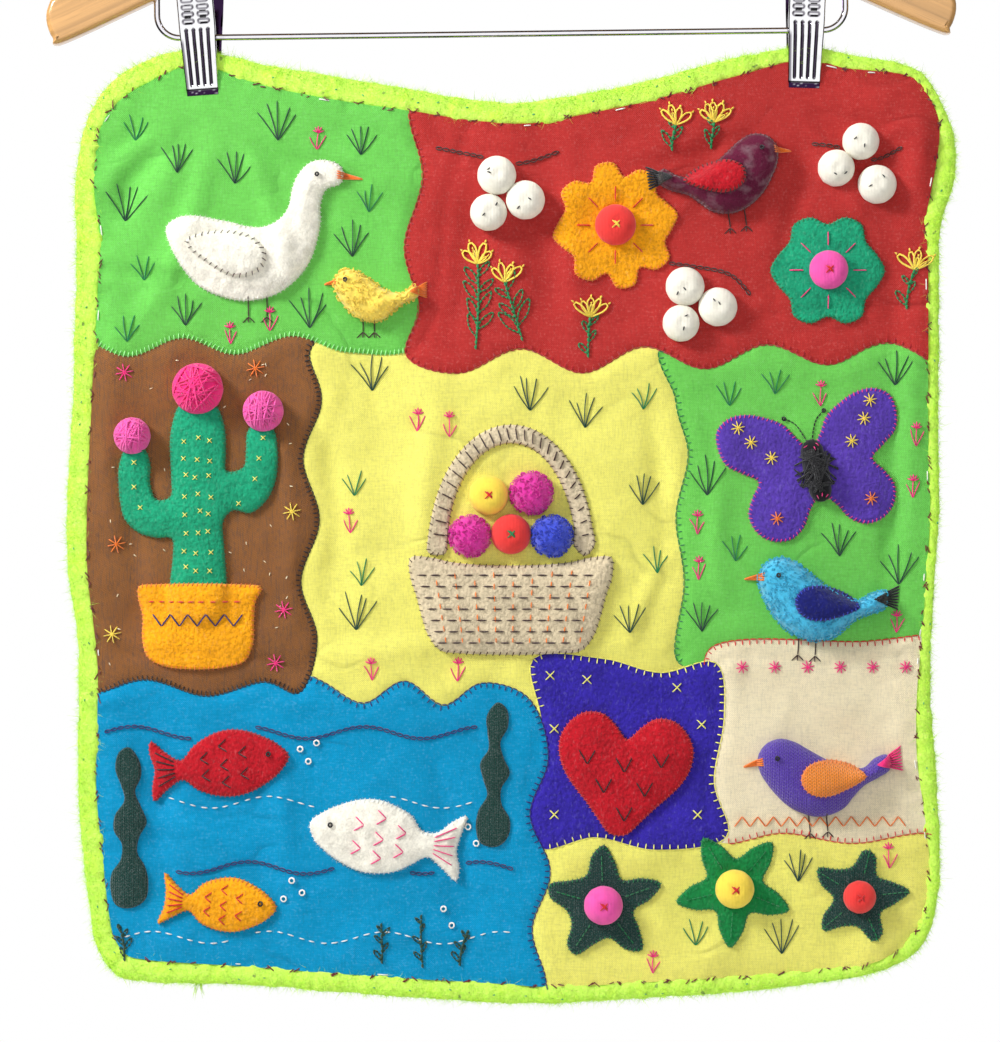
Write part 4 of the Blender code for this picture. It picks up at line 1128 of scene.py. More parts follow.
def whip_edge(outline, thread, pitch, depth, lip=0.7, purl=False, girth=0.8, keep=None):
    """Stitches over a cut edge, from lip mm outside it to depth inside it, with a purl along it if asked."""
    rim = spaced(closed_line(outline), pitch, True)
    normal = outward(rim)
    after = np.roll(rim, -1, axis=0)
    kept = keep(rim, normal) if keep else np.ones(len(rim), bool)
    for at, out, then in zip(rim[kept], normal[kept], after[kept]):
        inner = at - out * depth * RNG.uniform(0.85, 1.15)
        if purl:
            STITCHES.line(thread, [at + out * lip * 0.5, then + out * lip * 0.5], girth, 0.2, count=3)
            STITCHES.line(thread, [at + out * lip * 0.4, inner], girth, 0.25, count=3)
        else:
            slant = (then - at) * 0.3
            STITCHES.line(thread, [at + out * lip, inner + slant], girth, 0.25, count=4)


CUTS = {name: spline(corners, SEAM_STEP) for name, (_, _, _, _, corners) in PATCHES.items()}


def ground_label(points):
    """The index of the highest patch at each (u, v)."""
    label = np.zeros(len(points), int)
    for k, cut in enumerate(list(CUTS.values())[1:]):
        label[is_inside(points, cut)] = k + 1
    return label


def covered(points, names, margin=0.0):
    """Which places lie under one of these pieces, or within margin mm of it."""
    hidden = np.zeros(len(points), bool)
    for name in names:
        hidden |= is_inside(points, OUTLINES[name] + outward(OUTLINES[name]) * margin)
    return hidden


def in_sight(line, names, margin=2.0):
    """The parts of a line that none of these pieces covers."""
    line = np.array(line, float)
    hidden = covered(line, names, margin)
    parts = np.split(np.arange(len(line)), np.flatnonzero(np.diff(hidden.astype(int))) + 1)
    return [line[part] for part in parts if not hidden[part[0]] and len(part) > 4]


def clear(points, patch, margin=2.0):
    """Whether all these places are on one patch, away from its seams and from the figures."""
    points = np.array(points, float)
    moves = ((0, 0), (margin, 0), (-margin, 0), (0, margin), (0, -margin))
    spread = np.vstack([points + move for move in moves])
    if (np.abs(unpinched(spread)) < 0.15).any():
        return False
    if not is_inside(spread, OUTLINES["cloth"]).all():
        return False
    if (ground_label(spread) != list(PATCHES).index(patch)).any():
        return False
    return not any(is_inside(spread, outline).any() for name, outline in OUTLINES.items() if name != "cloth")


def places(patch, half_width, height, spacing, tries=400):
    """Scattered places on a patch where a motif of that size stands clear of what is there already."""
    cut = CUTS[patch]
    low, high = np.maximum(cut.min(0), PICTURE[0]), np.minimum(cut.max(0), PICTURE[1])
    found = []
    for _ in range(tries):
        u, v = RNG.uniform(low, high)
        gap = max(2.0, spacing - 2 * half_width)
        if any(abs(u - a) < half_width + wide + gap and -height - gap < v - b < tall + gap
               for a, b, wide, tall in TAKEN):
            continue
        frame_points = [(u + x, v + y) for x in (-half_width, 0, half_width)
                        for y in np.linspace(0, height, int(height / 5) + 2)]
        if clear(frame_points, patch):
            TAKEN.append((u, v, half_width, height))
            found.append((u, v))
    return found


class TEXTILE_OT_backing(bpy.types.Operator):
    """Make the backing cotton with its turned hem"""
    bl_idname = "textile.backing"
    bl_label = "Backing cloth"

    def execute(self, context):
        hem_width, step = 6.0, 8.0
        outline = outline_of("backing_cloth", 4.0)
        OUTLINES["cloth"] = outline
        hem = outline - outward(outline) * hem_width
        points, faces = filled(outline, np.vstack([outline, hem, grid_inside(hem, step, step / 2)]))
        crumple = 0.30 * lumps(points, 24, 3.0) + 0.10 * lumps(points, 9, 5.0)
        middle = cloth_height(points)
        front = middle + creased(points) - 0.9
        turned_in = 0.35 * smoothstep(1 - rim_distance(points, outline) / (hem_width + 1))
        finish = muslin("backing_cotton", tuple(colours().backing))
        back = np.minimum(middle - sizes().cloth_thickness * 500 - turned_in + crumple, front - 0.4)
        sewn(closed_solid("backing", points, faces, front, back, finish), "backing_cotton", ["backing_cloth"])
        return {"FINISHED"}


class TEXTILE_OT_ground(bpy.types.Operator):
    """Make the patches of the ground, puckered along their seams"""
    bl_idname = "textile.ground"
    bl_label = "Ground patches"

    def execute(self, context):
        step = sizes().ground_step * 1000
        outline = spaced(closed_line(OUTLINES["cloth"]), 2.2, True)
        flat, edges, first = [outline], loop_edges(len(outline)), len(outline)
        for seam in self.seams(outline):
            edges += [(first + i, first + i + 1) for i in range(len(seam) - 1)]
            flat.append(seam)
            first += len(seam)
        seam_points = np.vstack(flat[1:])
        finder = KDTree(len(seam_points))
        for i, (u, v) in enumerate(seam_points):
            finder.insert((u, v, 0), i)
        finder.balance()
        inner = grid_inside(outline, step, step * 0.5)
        far = np.array([finder.find((u, v, 0))[2] for u, v in inner]) > step * 0.55
        points, faces = filled(outline, np.vstack([*flat, inner[far]]), edges)
        label = ground_label(points[faces].mean(axis=1))
        base = self.relief(points, outline, finder)
        for k, (name, (colour, weave, _, _, _)) in enumerate(PATCHES.items()):
            used, index = np.unique(faces[label == k], return_inverse=True)
            here, own = points[used], index.reshape(-1, 3)
            top, under = base[used] + PATCH_LAP * k, base[used] - PATCH_THICK
            made = sewn(closed_solid(name, here, own, top, under, cloth(colour, weave)))
            width, length = here.max(0) - here.min(0)
            mm(width)
            mm(length)
            SURFACE.add(made)
        return {"FINISHED"}

    def seams(self, outline):
        """The stretches of the patches' cut edges that lie on the cloth, each run on by one point."""
        found = []
        for cut in list(CUTS.values())[1:]:
            line = closed_line(cut)
            near = is_inside(line, outline)
            ends = [k for k in range(1, len(line)) if near[k] != near[k - 1]]
            for part in np.split(np.arange(len(line)), ends):
                if near[part[0]] and len(part) > 2:
                    found.append(line[max(part[0] - 1, 0):part[-1] + 2])
        return found

    def relief(self, points, outline, finder):
        """How high the ground lies, with a dip along each seam, a swell beside it, and puckers between."""
        found = [finder.find((u, v, 0)) for u, v in points]
        away = np.array([hit[2] for hit in found])
        along = [hit[1] * SEAM_STEP for hit in found]
        rim = rim_distance(points, outline)
        uneven = 1.15 * lumps(points, 24, 1.0) + 0.50 * lumps(points, 9, 2.0) + 0.16 * lumps(points, 4, 8.0)
        pucker = lumps([(s, 0) for s in along], 5.0, 9.0) * np.exp(-away / 6.0)
        uneven += 0.55 * pucker + 0.45 * bump(away - 6.5, 4.0) - 0.75 * bump(away, 1.9)
        uneven += 0.8 * lumps(points, 6.0, 4.0) * np.exp(-rim / 7.0) + 0.6 * bump(rim - 8, 5.0)
        face = sizes().cloth_thickness * 500 + 0.12
        return cloth_height(points) + creased(points) + face + (uneven + 0.15) * unpinched(points)


class TEXTILE_OT_edging(bpy.types.Operator):
    """Make the lumpy brushed edging and its fibres"""
    bl_idname = "textile.edging"
    bl_label = "Brushed edging"

    def execute(self, context):
        around = 14
        neon = brushed("cloth_neon_brushed", tuple(colours().edging))
        outer = outline_of("edging", 1.5)
        count = len(outer)
        width = rim_distance(outer, OUTLINES["cloth"])
        middle = cloth_height(outer - outward(outer) * (width / 2)[:, None])
        verts = self.rings(outer, width, middle, around)
        faces = []
        for i in range(count):
            for k in range(around):
                a, b = i * around + k, i * around + (k + 1) % around
                c, d = (i + 1) % count * around + (k + 1) % around, (i + 1) % count * around + k
                faces += [(a, b, c), (a, c, d)]
        body = sewn(make_object("edging_yarn", verts, faces, neon, 180), "neon_yarn", ["edging"])
        SURFACE.add(body)
        rows = np.array(faces).reshape(count, around * 2, 3)
        turns = [2 * math.pi * (k // 2 + 0.5) / around for k in range(around * 2)]
        outer_side = [k for k, turn in enumerate(turns) if math.cos(turn) > 0.35]
        face_side = [k for k, turn in enumerate(turns) if math.sin(turn) > 0.05]
        for label, side, share, length, lean, bends in (
                ("rim", outer_side, 0.8, sizes().fur_length, 0.9, 3),
                ("fluff", outer_side, 2.6, sizes().fur_length * 0.52, 1.3, 2),
                ("face", face_side, 0.30, sizes().fur_length * 0.75, 2.2, 2)):
            for part, own in enumerate(np.array_split(rows[:, side], 2)):
                root = linked("fur_root", plain_mesh("fur_root", verts, [], own.reshape(-1, 3)))
                sewn(grown(f"edging_{label}_{part + 1}", root, fur_tree, {
                    "Density": sizes().fur_density * share, "Length": length, "Width": FIBRE / length,
                    "Lean": lean, "Curl": 0.6, "Points": bends, "Seed": sizes().seed + part,
                    "Material": neon}))
                bpy.data.objects.remove(root)
        self.loose_end(outer, middle, neon)
        cloth_line = OUTLINES["cloth"]
        width, length = (mm(side) for side in cloth_line.max(0) - cloth_line.min(0))
        abs(area_of(cloth_line)) * 1e-6
        return {"FINISHED"}

    def rings(self, outer, width, middle, around):
        """A ring of points round the yarn at each point of its outer line, uneven in reach and thickness."""
        verts = []
        for at, out, across, height in zip(outer, outward(outer), width, middle):
            slow, quick, ragged = (noise.noise(Vector((at[0] / size, at[1] / size, size)))
                                   for size in (14.0, 5.0, 2.1))
            reach_in = across + 1.3 + 0.9 * slow + 1.2 * quick + 1.0 * ragged
            reach_out = 0.7 + 0.5 * slow + 0.5 * quick
            centre, half = (reach_out - reach_in) / 2, (reach_out + reach_in) / 2
            thick = 2.4 + 0.5 * slow + 0.6 * quick
            for k in range(around):
                turn = 2 * math.pi * k / around
                c, s = math.cos(turn), math.sin(turn)
                u, v = at + out * (centre + half * math.copysign(abs(c) ** 0.8, c))
                rise = thick * math.copysign(abs(s) ** 0.7, s) * (1.0 if s > 0 else 0.85)
                rough = 0.55 * noise.noise(Vector((u / 3.2, v / 3.2, k / 5)))
                rough += 0.35 * noise.noise(Vector((u, v, k)))
                verts.append(place(u, v, height + rise + rough))
        return verts

    def loose_end(self, outer, middle, mat):
        """A wisp of yarn that hangs from the edging's lower left, its strands curling apart."""
        strands, strand_radius = 22, 0.00022
        root = int(np.argmin(np.linalg.norm(outer - np.array(LOOSE_END), axis=1)))
        verts, edges, girths = [], [], []
        for _ in range(strands):
            sway, drop, turn = RNG.uniform(-2.6, 2.6), RNG.uniform(4.0, 10.5), RNG.uniform(0, 6.28)
            first = len(verts)
            for t in np.linspace(0, 1, 6):
                u = outer[root][0] + sway * (0.4 + t**1.5) + 0.5 * math.sin(5 * t + turn)
                height = middle[root] + 0.8 * math.cos(4 * t + turn)
                verts.append(place(u, outer[root][1] + 1.5 - drop * t, height))
                girths.append(1.0 - 0.75 * t)
            edges += [(first + i, first + i + 1) for i in range(5)]
        return spun("edging_loose_end", verts, edges, girths, strand_radius, mat)


def shaped(points, outline, weave, edge, crown):
    """Height of a cut piece above what it lies on: an edge that rounds over, then its crown."""
    away = rim_distance(points, outline)
    share = away / max(away.max(), 1e-6)
    round_over = np.sqrt(np.clip(1 - (1 - np.clip(away / (edge * 0.7), 0, 1)) ** 2, 0, 1))
    dome = np.sqrt(np.clip(1 - (1 - share) ** 2, 0, 1))
    soft = {"fleece": 0.5, "terry": 0.5, "knit": 0.35, "velvet": 0.3}.get(weave, 0.16)
    uneven = soft * (lumps(points, 7, 3.3) + 0.5 * lumps(points, 3, 4.4))
    return edge * (0.35 + 0.65 * round_over) + crown * dome + uneven * smoothstep(away / 2.0)


def draped(points, faces, heights):
    """The heights with the steps of what lies under them softened, as cloth over an edge."""
    heights = heights.copy()
    heights[np.isnan(heights)] = np.nanmin(heights)
    neighbours = np.concatenate([faces[:, [0, 1]], faces[:, [1, 2]], faces[:, [2, 0]]])
    neighbours = np.concatenate([neighbours, neighbours[:, ::-1]])
    count = np.bincount(neighbours[:, 0], minlength=len(points))
    for _ in range(3):
        total = np.bincount(neighbours[:, 0], weights=heights[neighbours[:, 1]], minlength=len(points))
        heights = np.maximum(heights - 0.15, (heights + total / np.maximum(count, 1)) / 2)
    return heights


def cut_piece(node):
    """One cut figure, laid on what is under it."""
    colour, weave, edge, crown, _ = FIGURES[node]
    step = sizes().figure_step * 1000
    outline = outline_of(node, step * 0.75)
    OUTLINES[node] = outline
    ring = outline - outward(outline) * 0.55
    inner = outline - outward(outline) * 1.3
    inner = inner[rim_distance(inner, outline) > 1.1]
    points, faces = filled(outline, np.vstack([outline, ring, inner, grid_inside(outline, step, 2.0)]))
    base = draped(points, faces, SURFACE.height(points))
    front = base + shaped(points, outline, weave, edge, crown)
    made = closed_solid(f"{node}_cloth", points, faces, front, base - 0.3, cloth(colour, weave))
    sewn(made, slot_of(node), [node])
    if node in STUFFED:
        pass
    else:
        sheet(node, outline)
    SURFACE.add(made)
    return made


def terry(node, base, colour, density, size):
    """Towelling loops all over a piece."""
    sewn(grown(f"{node}_loops", base, loop_tree, {
        "Density": density, "Size": size, "Seed": sizes().seed, "Material": cloth(colour, "thread")}))


def ball(node):
    """A stuffed ball, gathered underneath and drawn in a little at its middle stitch."""
    colour, weave, thread = BALLS[node]
    low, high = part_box(node)
    u, v = flat_place((low.x + high.x) / 2, (low.z + high.z) / 2)
    outline = rims_of(node)[0]
    radii = np.linalg.norm(outline - np.array([u, v]), axis=1)
    least, most = radii.min(), radii.max()
    long_axis = math.radians(102) if node == "butterfly_body" else None
    top = -low.y * 1000
    under = max(np.nanmin(SURFACE.height(outline)), cloth_height(outline).max() - 0.5)
    height = top - under + 0.4
    rings, around, tuck = 18, 48, math.radians(118)
    verts = [place(u, v, top - (0.9 if thread else 0.2))]
    for k in range(1, rings):
        tilt = tuck * k / (rings - 1)
        share = math.sin(tilt) if tilt < math.pi / 2 else math.sin(tilt) ** 0.7
        dent = 0.9 * math.exp(-((k / 2.2) ** 2)) if thread else 0.0
        for j in range(around):
            a = 2 * math.pi * j / around
            reach = most
            if long_axis:
                reach = np.interp(abs(math.cos(a - long_axis)), [0, 0.5, 0.8, 1],
                                  [least, least * 1.15, least * 1.5, most])
            gather = 1 + 0.06 * math.sin(a * 11 + 2) * (k / rings) ** 8
            lump = 0.5 * noise.noise(Vector((u + math.cos(a) * share, v + math.sin(a) * share, k / 9)))
            r = reach * share * gather
            h = under - 0.4 + height * (math.cos(tilt) + 0.47) / 1.47 - dent + lump
            verts.append(place(u + r * math.cos(a), v + r * math.sin(a), h))
    faces = [(0, 1 + j, 1 + (j + 1) % around) for j in range(around)]
    for k in range(rings - 2):
        for j in range(around):
            a, b = 1 + k * around + j, 1 + k * around + (j + 1) % around
            faces += [(a, a + around, b + around), (a, b + around, b)]
    verts.append(place(u, v, under - 0.4))
    last = 1 + (rings - 2) * around
    faces += [(len(verts) - 1, last + (j + 1) % around, last + j) for j in range(around)]
    cover = cloth(colour, "jersey" if weave == "wound" else weave)
    made = sewn(make_object(f"{node}_cover", verts, faces, cover, 180), slot_of(node), [node])
    SURFACE.add(made)
    radius = float(radii.mean())
    OUTLINES[node] = np.array([(u + radius * math.cos(a), v + radius * math.sin(a))
                               for a in np.linspace(0, 2 * math.pi, 24, False)])
    return made, np.array([u, v]), radius


class TEXTILE_OT_figures(bpy.types.Operator):
    """Cut the felt, fleece and velvet figures and lay them on the ground"""
    bl_idname = "textile.figures"
    bl_label = "Cut figures"

    def execute(self, context):
        for node, (colour, weave, _, _, _) in FIGURES.items():
            made = cut_piece(node)
            if weave == "terry":
                terry(node, made, colour, sizes().terry_density, 0.00068)
            elif weave in ("fleece", "velour", "velvet"):
                sewn(grown(f"{node}_pile", made, fur_tree, {
                    "Density": 900000.0 if weave == "fleece" else 700000.0, "Length": 0.0015, "Width": 0.07,
                    "Lean": 1.1, "Curl": 0.5, "Points": 2, "Seed": sizes().seed,
                    "Material": cloth(colour, "thread")}))
        return {"FINISHED"}


class TEXTILE_OT_balls(bpy.types.Operator):
    """Make the stuffed balls, berries, fruit and wound blooms"""
    bl_idname = "textile.balls"
    bl_label = "Stuffed balls"

    def execute(self, context):
        for node, (colour, weave, thread) in BALLS.items():
            made, middle, radius = ball(node)
            if weave == "terry":
                terry(node, made, colour, sizes().terry_density * 1.5, 0.00075)
            elif weave == "wound":
                self.wind(middle, radius, colour)
            elif thread == "black":
                for _ in range(2):
                    at = middle + RNG.uniform(-0.45, 0.45, 2) * radius
                    arm = turned_about([(-1.0, 0), (1.0, 0)], RNG.uniform(0, 3), at)
                    STITCHES.line("black", arm, 1.0, 0.25)
            else:
                cross(middle, 1.9, thread)
                cross(middle + np.array([0.5, 0.3]), 1.4, thread)
        return {"FINISHED"}

    def wind(self, middle, radius, colour):
        """Turns of yarn over the ball, each a chord of its face."""
        for turn in range(26):
            angle = RNG.uniform(0, math.pi)
            off = RNG.normal(0, 0.34) * radius
            reach = math.sqrt(max(radius**2 - off**2, 0.5)) * 0.95
            chord = [(-reach, off), (-reach * 0.5, off * 1.06), (0, off * 1.1), (reach * 0.5, off * 1.06),
                     (reach, off)]
            STITCHES.line(colour, turned_about(chord, angle, middle), 1.35, 0.35 + 0.02 * turn, sunk=False,
                          count=9)


class TEXTILE_OT_seams(bpy.types.Operator):
    """Sew down the patches and the figures along their edges"""
    bl_idname = "textile.seams"
    bl_label = "Seam stitches"

    def execute(self, context):
        cloth_line = OUTLINES["cloth"]
        for k, (name, (_, _, thread, pitch, _)) in enumerate(PATCHES.items()):
            if not thread:
                continue

            def keep(rim, out, k=k):
                within = is_inside(rim + out * 1.5, cloth_line) & is_inside(rim - out * 1.5, cloth_line)
                within &= (ground_label(rim - out * 1.5) == k) & (ground_label(rim + out * 1.5) < k)
                return within & ~covered(rim, [*FIGURES, *BALLS])

            whip_edge(CUTS[name], thread, pitch, 2.4, purl=thread != "lime_fringe", keep=keep, girth=0.85)
        order = [*FIGURES, *BALLS]
        for k, (node, (_, _, _, _, thread)) in enumerate(FIGURES.items()):
            def shown(rim, out, above=order[k + 1:]):
                return ~covered(rim, above)

            if thread:
                pitch = 3.2 if thread == "cocoa" else 2.3
                whip_edge(OUTLINES[node], thread, pitch, 1.5, girth=0.7, keep=shown)
        self.border()
        return {"FINISHED"}

    def border(self):
        """The stitches that hold the edging: small groups of claret strokes, and dots of white under them."""
        rim = spaced(closed_line(OUTLINES["cloth"]), 3.0, True)
        normal = outward(rim)
        at = 0
        while at < len(rim) - 3:
            here, out = rim[at], normal[at]
            ahead = rim[at + 1] - here
            ahead /= max(np.linalg.norm(ahead), 1e-6)
            for _ in range(RNG.integers(2, 4)):
                start = here - out * RNG.uniform(0.3, 1.6) + ahead * RNG.normal(0, 1.6)
                way = out * RNG.uniform(0.5, 2.6) - ahead * RNG.uniform(1.2, 3.6) * RNG.choice((1, 1, -1))
                STITCHES.line("claret", [start, start + way], RNG.uniform(0.7, 1.05), 0.3)
            if RNG.random() < 0.22:
                start = here - out * 1.0 + ahead * RNG.uniform(1, 4)
                STITCHES.line("snow", [start, start + ahead * RNG.uniform(2.5, 6.5)], 0.9, 0.1)
            if RNG.random() < 0.5:
                start = here + out * RNG.uniform(3.5, 6.5) + ahead * RNG.uniform(-4, 4)
                STITCHES.line("jade", [start, start + ahead * 1.3 + out * RNG.normal(0, 0.5)], 0.8, 0.15)
            at += int(RNG.integers(4, 7))


class TEXTILE_OT_embroidery(bpy.types.Operator):
    """Embroider grass, sprigs, flowers, waves and the details of the figures"""
    bl_idname = "textile.embroidery"
    bl_label = "Embroidery"

    def execute(self, context):
        self.meadow()
        self.red_garden()
        self.water()
        self.brown_field()
        self.figure_details()
        STITCHES.make(sizes().thread)
        return {"FINISHED"}

    def meadow(self):
        """Grass and small flowers on the lime and yellow patches."""
        for patch in ("ground_lime_left", "ground_lime_right", "ground_yellow"):
            for k, at in enumerate(places(patch, 7, 15, 19)):
                tuft(at, 13 + 3 * (k % 3), "forest" if k % 3 else "green", 5 if k % 3 else 4)
            for at in places(patch, 4, 11, 15):
                tuft(at, 9, "pink", 3, 0.45, "pink")

    def red_garden(self):
        """Leafy stems with yellow flowers, and twigs for the berries, on the red patch."""
        for twig in ([(-34, 186), (-14, 182), (6, 178), (26, 184)],
                     [(76, 130), (92, 128), (110, 124), (120, 114)],
                     [(150, 188), (166, 186), (180, 180), (194, 186)]):
            TAKEN.extend((u, v - 2, 4, 4) for u, v in twig)
            for part in in_sight(spline(twig, 2, False), [*FIGURES, *BALLS], 0.5):
                chain(part, "cocoa")
        for length in (42, 30, 20, 13):
            half_width, leaf = (9, 14) if length > 20 else (7, 9)
            for at in places("ground_red", half_width, length + 11, 19, 500):
                sprig(at, length, RNG.normal(0, 0.10), leaves=max(3, length // 5), leaf=leaf)

    def water(self):
        """Waves and bubbles on the blue patch."""
        for k, v in enumerate((-100, -134, -166, -200)):
            start = -196 + 10 * (k % 2)
            wave = [(u, v + 3.0 * math.sin((u - start) / 9.0)) for u in np.arange(start, 8, 4.0)]
            thread, work = ("snow", running) if k % 2 else ("navy", chain)
            for part in in_sight(spaced(np.array(wave, float), 2.0), FIGURES, 3.0):
                work(part, thread)
        for at in ((-100, -108), (-96, -114), (-92, -105), (-18, -146), (-14, -154), (-104, -172),
                   (-99, -178), (-108, -181), (-30, -186), (-26, -194)):
            if not covered(np.array([at], float), FIGURES, 1.5)[0]:
                knot(at, "snow", 1.3)
        for at, length in (((-60, -213), 20), ((-40, -215), 26), ((-22, -214), 18), ((-186, -212), 18)):
            sprig(at, length, RNG.normal(0, 0.1), "forest", None, 5, 7)

    def brown_field(self):
        """Stars and seed stitches on the brown patch."""
        stars = ((-186, 76), (-104, 8), (-190, -8), (-108, -40), (-192, -52), (-122, 78), (-112, -66))
        for n, at in enumerate(stars):
            thread_star(np.array(at, float), 4.6, ("pink", "canary", "tangerine")[n % 3])
        for _ in range(70):
            at = np.array([RNG.uniform(-194, -104), RNG.uniform(-70, 82)])
            if not covered(at[None], [*FIGURES, *BALLS], 1.5)[0]:
                arm = turned_about([(-0.9, 0), (0.9, 0)], RNG.uniform(0, 3), at)
                STITCHES.line("cream", arm, 0.7, 0.2)

    def figure_details(self):
        self.birds()
        self.fish()
        for v in np.arange(-20, 46, 9.0):
            for u in (-156, -150, -144):
                cross((u + RNG.normal(0, 0.6), v + RNG.normal(0, 0.8)), 1.2, "lemon", 0.7)
        for u, v in ((-181, 20), (-181, 32), (-178, 10), (-120, 34), (-118, 44), (-122, 24), (-130, 12)):
            cross((u, v), 1.2, "lemon", 0.7)
        zigzag((-172, -42), (-128, -42), -6, 10, "navy")
        running([(-174, -36), (-126, -36)], "scarlet")
        self.basket()
        self.butterfly()
        for u, v in ((40, -112), (58, -116), (76, -114), (48, -126), (68, -128), (58, -140)):
            for side in (-4, 4):
                ends = [(u + side, v + 4), (u, v - 3)]
                STITCHES.line("black", ends if side < 0 else ends[::-1], 0.9, 0.35)
        for at in ((22, -72), (40, -74), (84, -78), (96, -96), (24, -98), (94, -140), (24, -140)):
            cross(at, 2.2, "lemon")
        for flower, ray in (((54, 148), "scarlet"), ((158, 126), "pink")):
            for a in np.linspace(0, 2 * math.pi, 8, False):
                way = np.array([math.cos(a), math.sin(a)])
                STITCHES.line(ray, [flower + 12.0 * way, flower + 19.0 * way], 0.9, 0.35)
        for star, spin in (((48, -184), 20), ((112, -176), 50), ((173, -180), 5)):
            for k in range(5):
                a = math.radians(spin + 72 * k)
                way = np.array([math.cos(a), math.sin(a)])
                back_stitch([star + way * 11, star + way * 24], "green", 2.6, 0.8)
        zigzag((112, -146), (196, -146), 5, 22, "tangerine")
        for u in np.arange(116, 200, 16):
            thread_star(np.array([u, -68.0]), 3.4, "pink" if u % 32 else "royal")

    def butterfly(self):
        """Stars on the wings, and two feelers."""
        at = self.placing((152, 28), 1.0, 1, 12)
        for side in (-1, 1):
            for u, v in ((24, 17), (17, 9), (28, 24), (20, -16)):
                thread_star(at(side * u * 1.18, v * 1.18), 3.6, "canary" if v > 0 else "tangerine")
        for side in (-1, 1):
            feeler = [at(side * 1, 14), at(side * 5, 24), at(side * 10, 28)]
            back_stitch(spline(feeler, 1.5, False), "black", 2.0)
            knot(feeler[-1], "black", 0.8)

    def placing(self, centre, scale, way, turn):
        """A function from a figure's own (u, v) to the cloth's. Way is -1 for one that faces left."""
        return lambda u, v: turned_about([(u * scale * way, v * scale)], math.radians(turn), centre)[0]

    def birds(self):
        """Eyes, beaks and legs, and tails for all but the goose, which comes first."""
        for centre, scale, way, turn, tail in (
                ((-122, 138), 1.12, 1, 0, None), ((110, 170), 1.0, 1, 8, "black"),
                ((150, -38), 1.06, -1, -4, "black"), ((152, -124), 1.08, -1, 6, "pink"),
                ((-66, 112), 0.7, -1, 0, "tangerine")):
            at = self.placing(centre, scale, way, turn)
            eye, beak, reach, foot = ((17, 13), (25.5, 12), 6.5, -15) if tail else ((27, 31), (38, 31), 9, -23)
            knot(at(*eye), "black", 0.9)
            for spread in (-1.6, -0.6, 0.5, 1.5):
                tip = at(beak[0] + reach, beak[1] - 2.0)
                STITCHES.line("tangerine", [at(beak[0] - 2.5, beak[1] + spread), tip], 1.2, 0.5)
            for leg in (-3, 5):
                ankle = at(leg, foot - 8)
                STITCHES.line("cocoa", [at(leg, foot + 1), ankle], 1.0, 0.3)
                for toe in (-3, 0, 3):
                    STITCHES.line("cocoa", [ankle, ankle + np.array([toe, -3.0])], 0.9, 0.25)
            for fan in np.linspace(-5, 6, 8) if tail else ():
                STITCHES.line(tail, [at(-28, 5), at(-40, 6 + fan)], 1.4, 0.8)

    def fish(self):
        """Scales, fins and eyes."""
        for centre, scale, way, turn, thread in (
                ((-140, -116), 1.05, 1, 6, "black"), ((-58, -152), 1.16, -1, -8, "pink"),
                ((-140, -184), 0.86, 1, -5, "scarlet")):
            at = self.placing(centre, scale, way, turn)
            knot(at(24, 3), "black", 1.0)
            for u, v in ((12, 5), (12, -5), (3, 0), (3, 9), (3, -8), (-6, 4), (-6, -4)):
                STITCHES.line(thread, [at(u + 2, v + 3), at(u - 2, v)], 0.9, 0.3)
                STITCHES.line(thread, [at(u - 2, v), at(u + 2, v - 3)], 0.9, 0.3)
            for v in (-7, -3, 1, 5, 9):
                STITCHES.line(thread, [at(-20, v * 0.4), at(-29, v)], 0.9, 0.3)

    def basket(self):
        """Cane work on the basket, in long stitches crossed by shorter ones, and wraps round its handle."""
        middle, foot = 3, -56
        for v in np.arange(foot, -18, 5.5):
            half = 36 + (v - foot) * 0.30
            running([(u, v) for u in np.arange(middle - half, middle + half, 3.0)], "cocoa", 5.0, 2.6, 1.2)
        for u in np.arange(-32, 42, 9.0):
            lean = (u - middle) * 0.16
            running([(u - lean * 0.6, foot), (u + lean * 0.4, -20)], "tangerine", 3.0, 2.5, 0.9)
        for a in np.linspace(0.15, math.pi - 0.15, 26):
            at = np.array([middle + 36 * math.cos(a), -12 + 58 * math.sin(a)])
            out = np.array([math.cos(a) * 0.8, math.sin(a)])
            STITCHES.line("cocoa", [at - out * 3 + np.array([1.2, 0]), at + out * 3], 1.0, 0.35)


# The hanger, in metres in its own frame with the rail at the origin, as the solids have it.
HANGER_SPAN = 0.445
HANGER_LEAN = math.radians(0.7)
ARM_THICK = 0.013
NECK_TOP_Z = -0.062
ARM_TIP_Z = -0.1852
HOOK_WIRE = 0.004
HOOK_INNER_R = 0.020
BAR_WIRE = 0.0032
BAR_HALF_SPAN = 0.1686
BAR_Z = -0.1833
BAR_BEND_R = 0.011
CLIPS = {"left": (-0.1483, math.radians(4.3), 0.0045), "right": (0.1489, math.radians(-1.6), -0.0008)}

# Rows of a clip plate, from its jaw up: height, outer face from the middle, half width, and folded flange.
CLIP_ROWS = [
    (-0.0285, 0.00285, 0.0080, 0.0002), (-0.0225, 0.00325, 0.0080, 0.0002), (-0.009, 0.0054, 0.0084, 0.0006),
    (-0.003, 0.0066, 0.0086, 0.0034), (0.004, 0.0068, 0.0089, 0.0034), (0.010, 0.0078, 0.0089, 0.0012),
    (0.024, 0.0105, 0.0089, 0.0008)]
CLIP_PLATE = 0.001
CLIP_GROOVES = (-0.62, -0.22, 0.18, 0.58)
FIBRE = 0.00018


def leaned():
    return Matrix.Rotation(-HANGER_LEAN, 4, "Y")


def ring_faces(rings, around):
    """The four-sided faces between rings of points, each ring this many points round."""
    return [(a, b, b + around, a + around) for k in range(rings - 1)
            for a, b in ((k * around + j, k * around + (j + 1) % around) for j in range(around))]


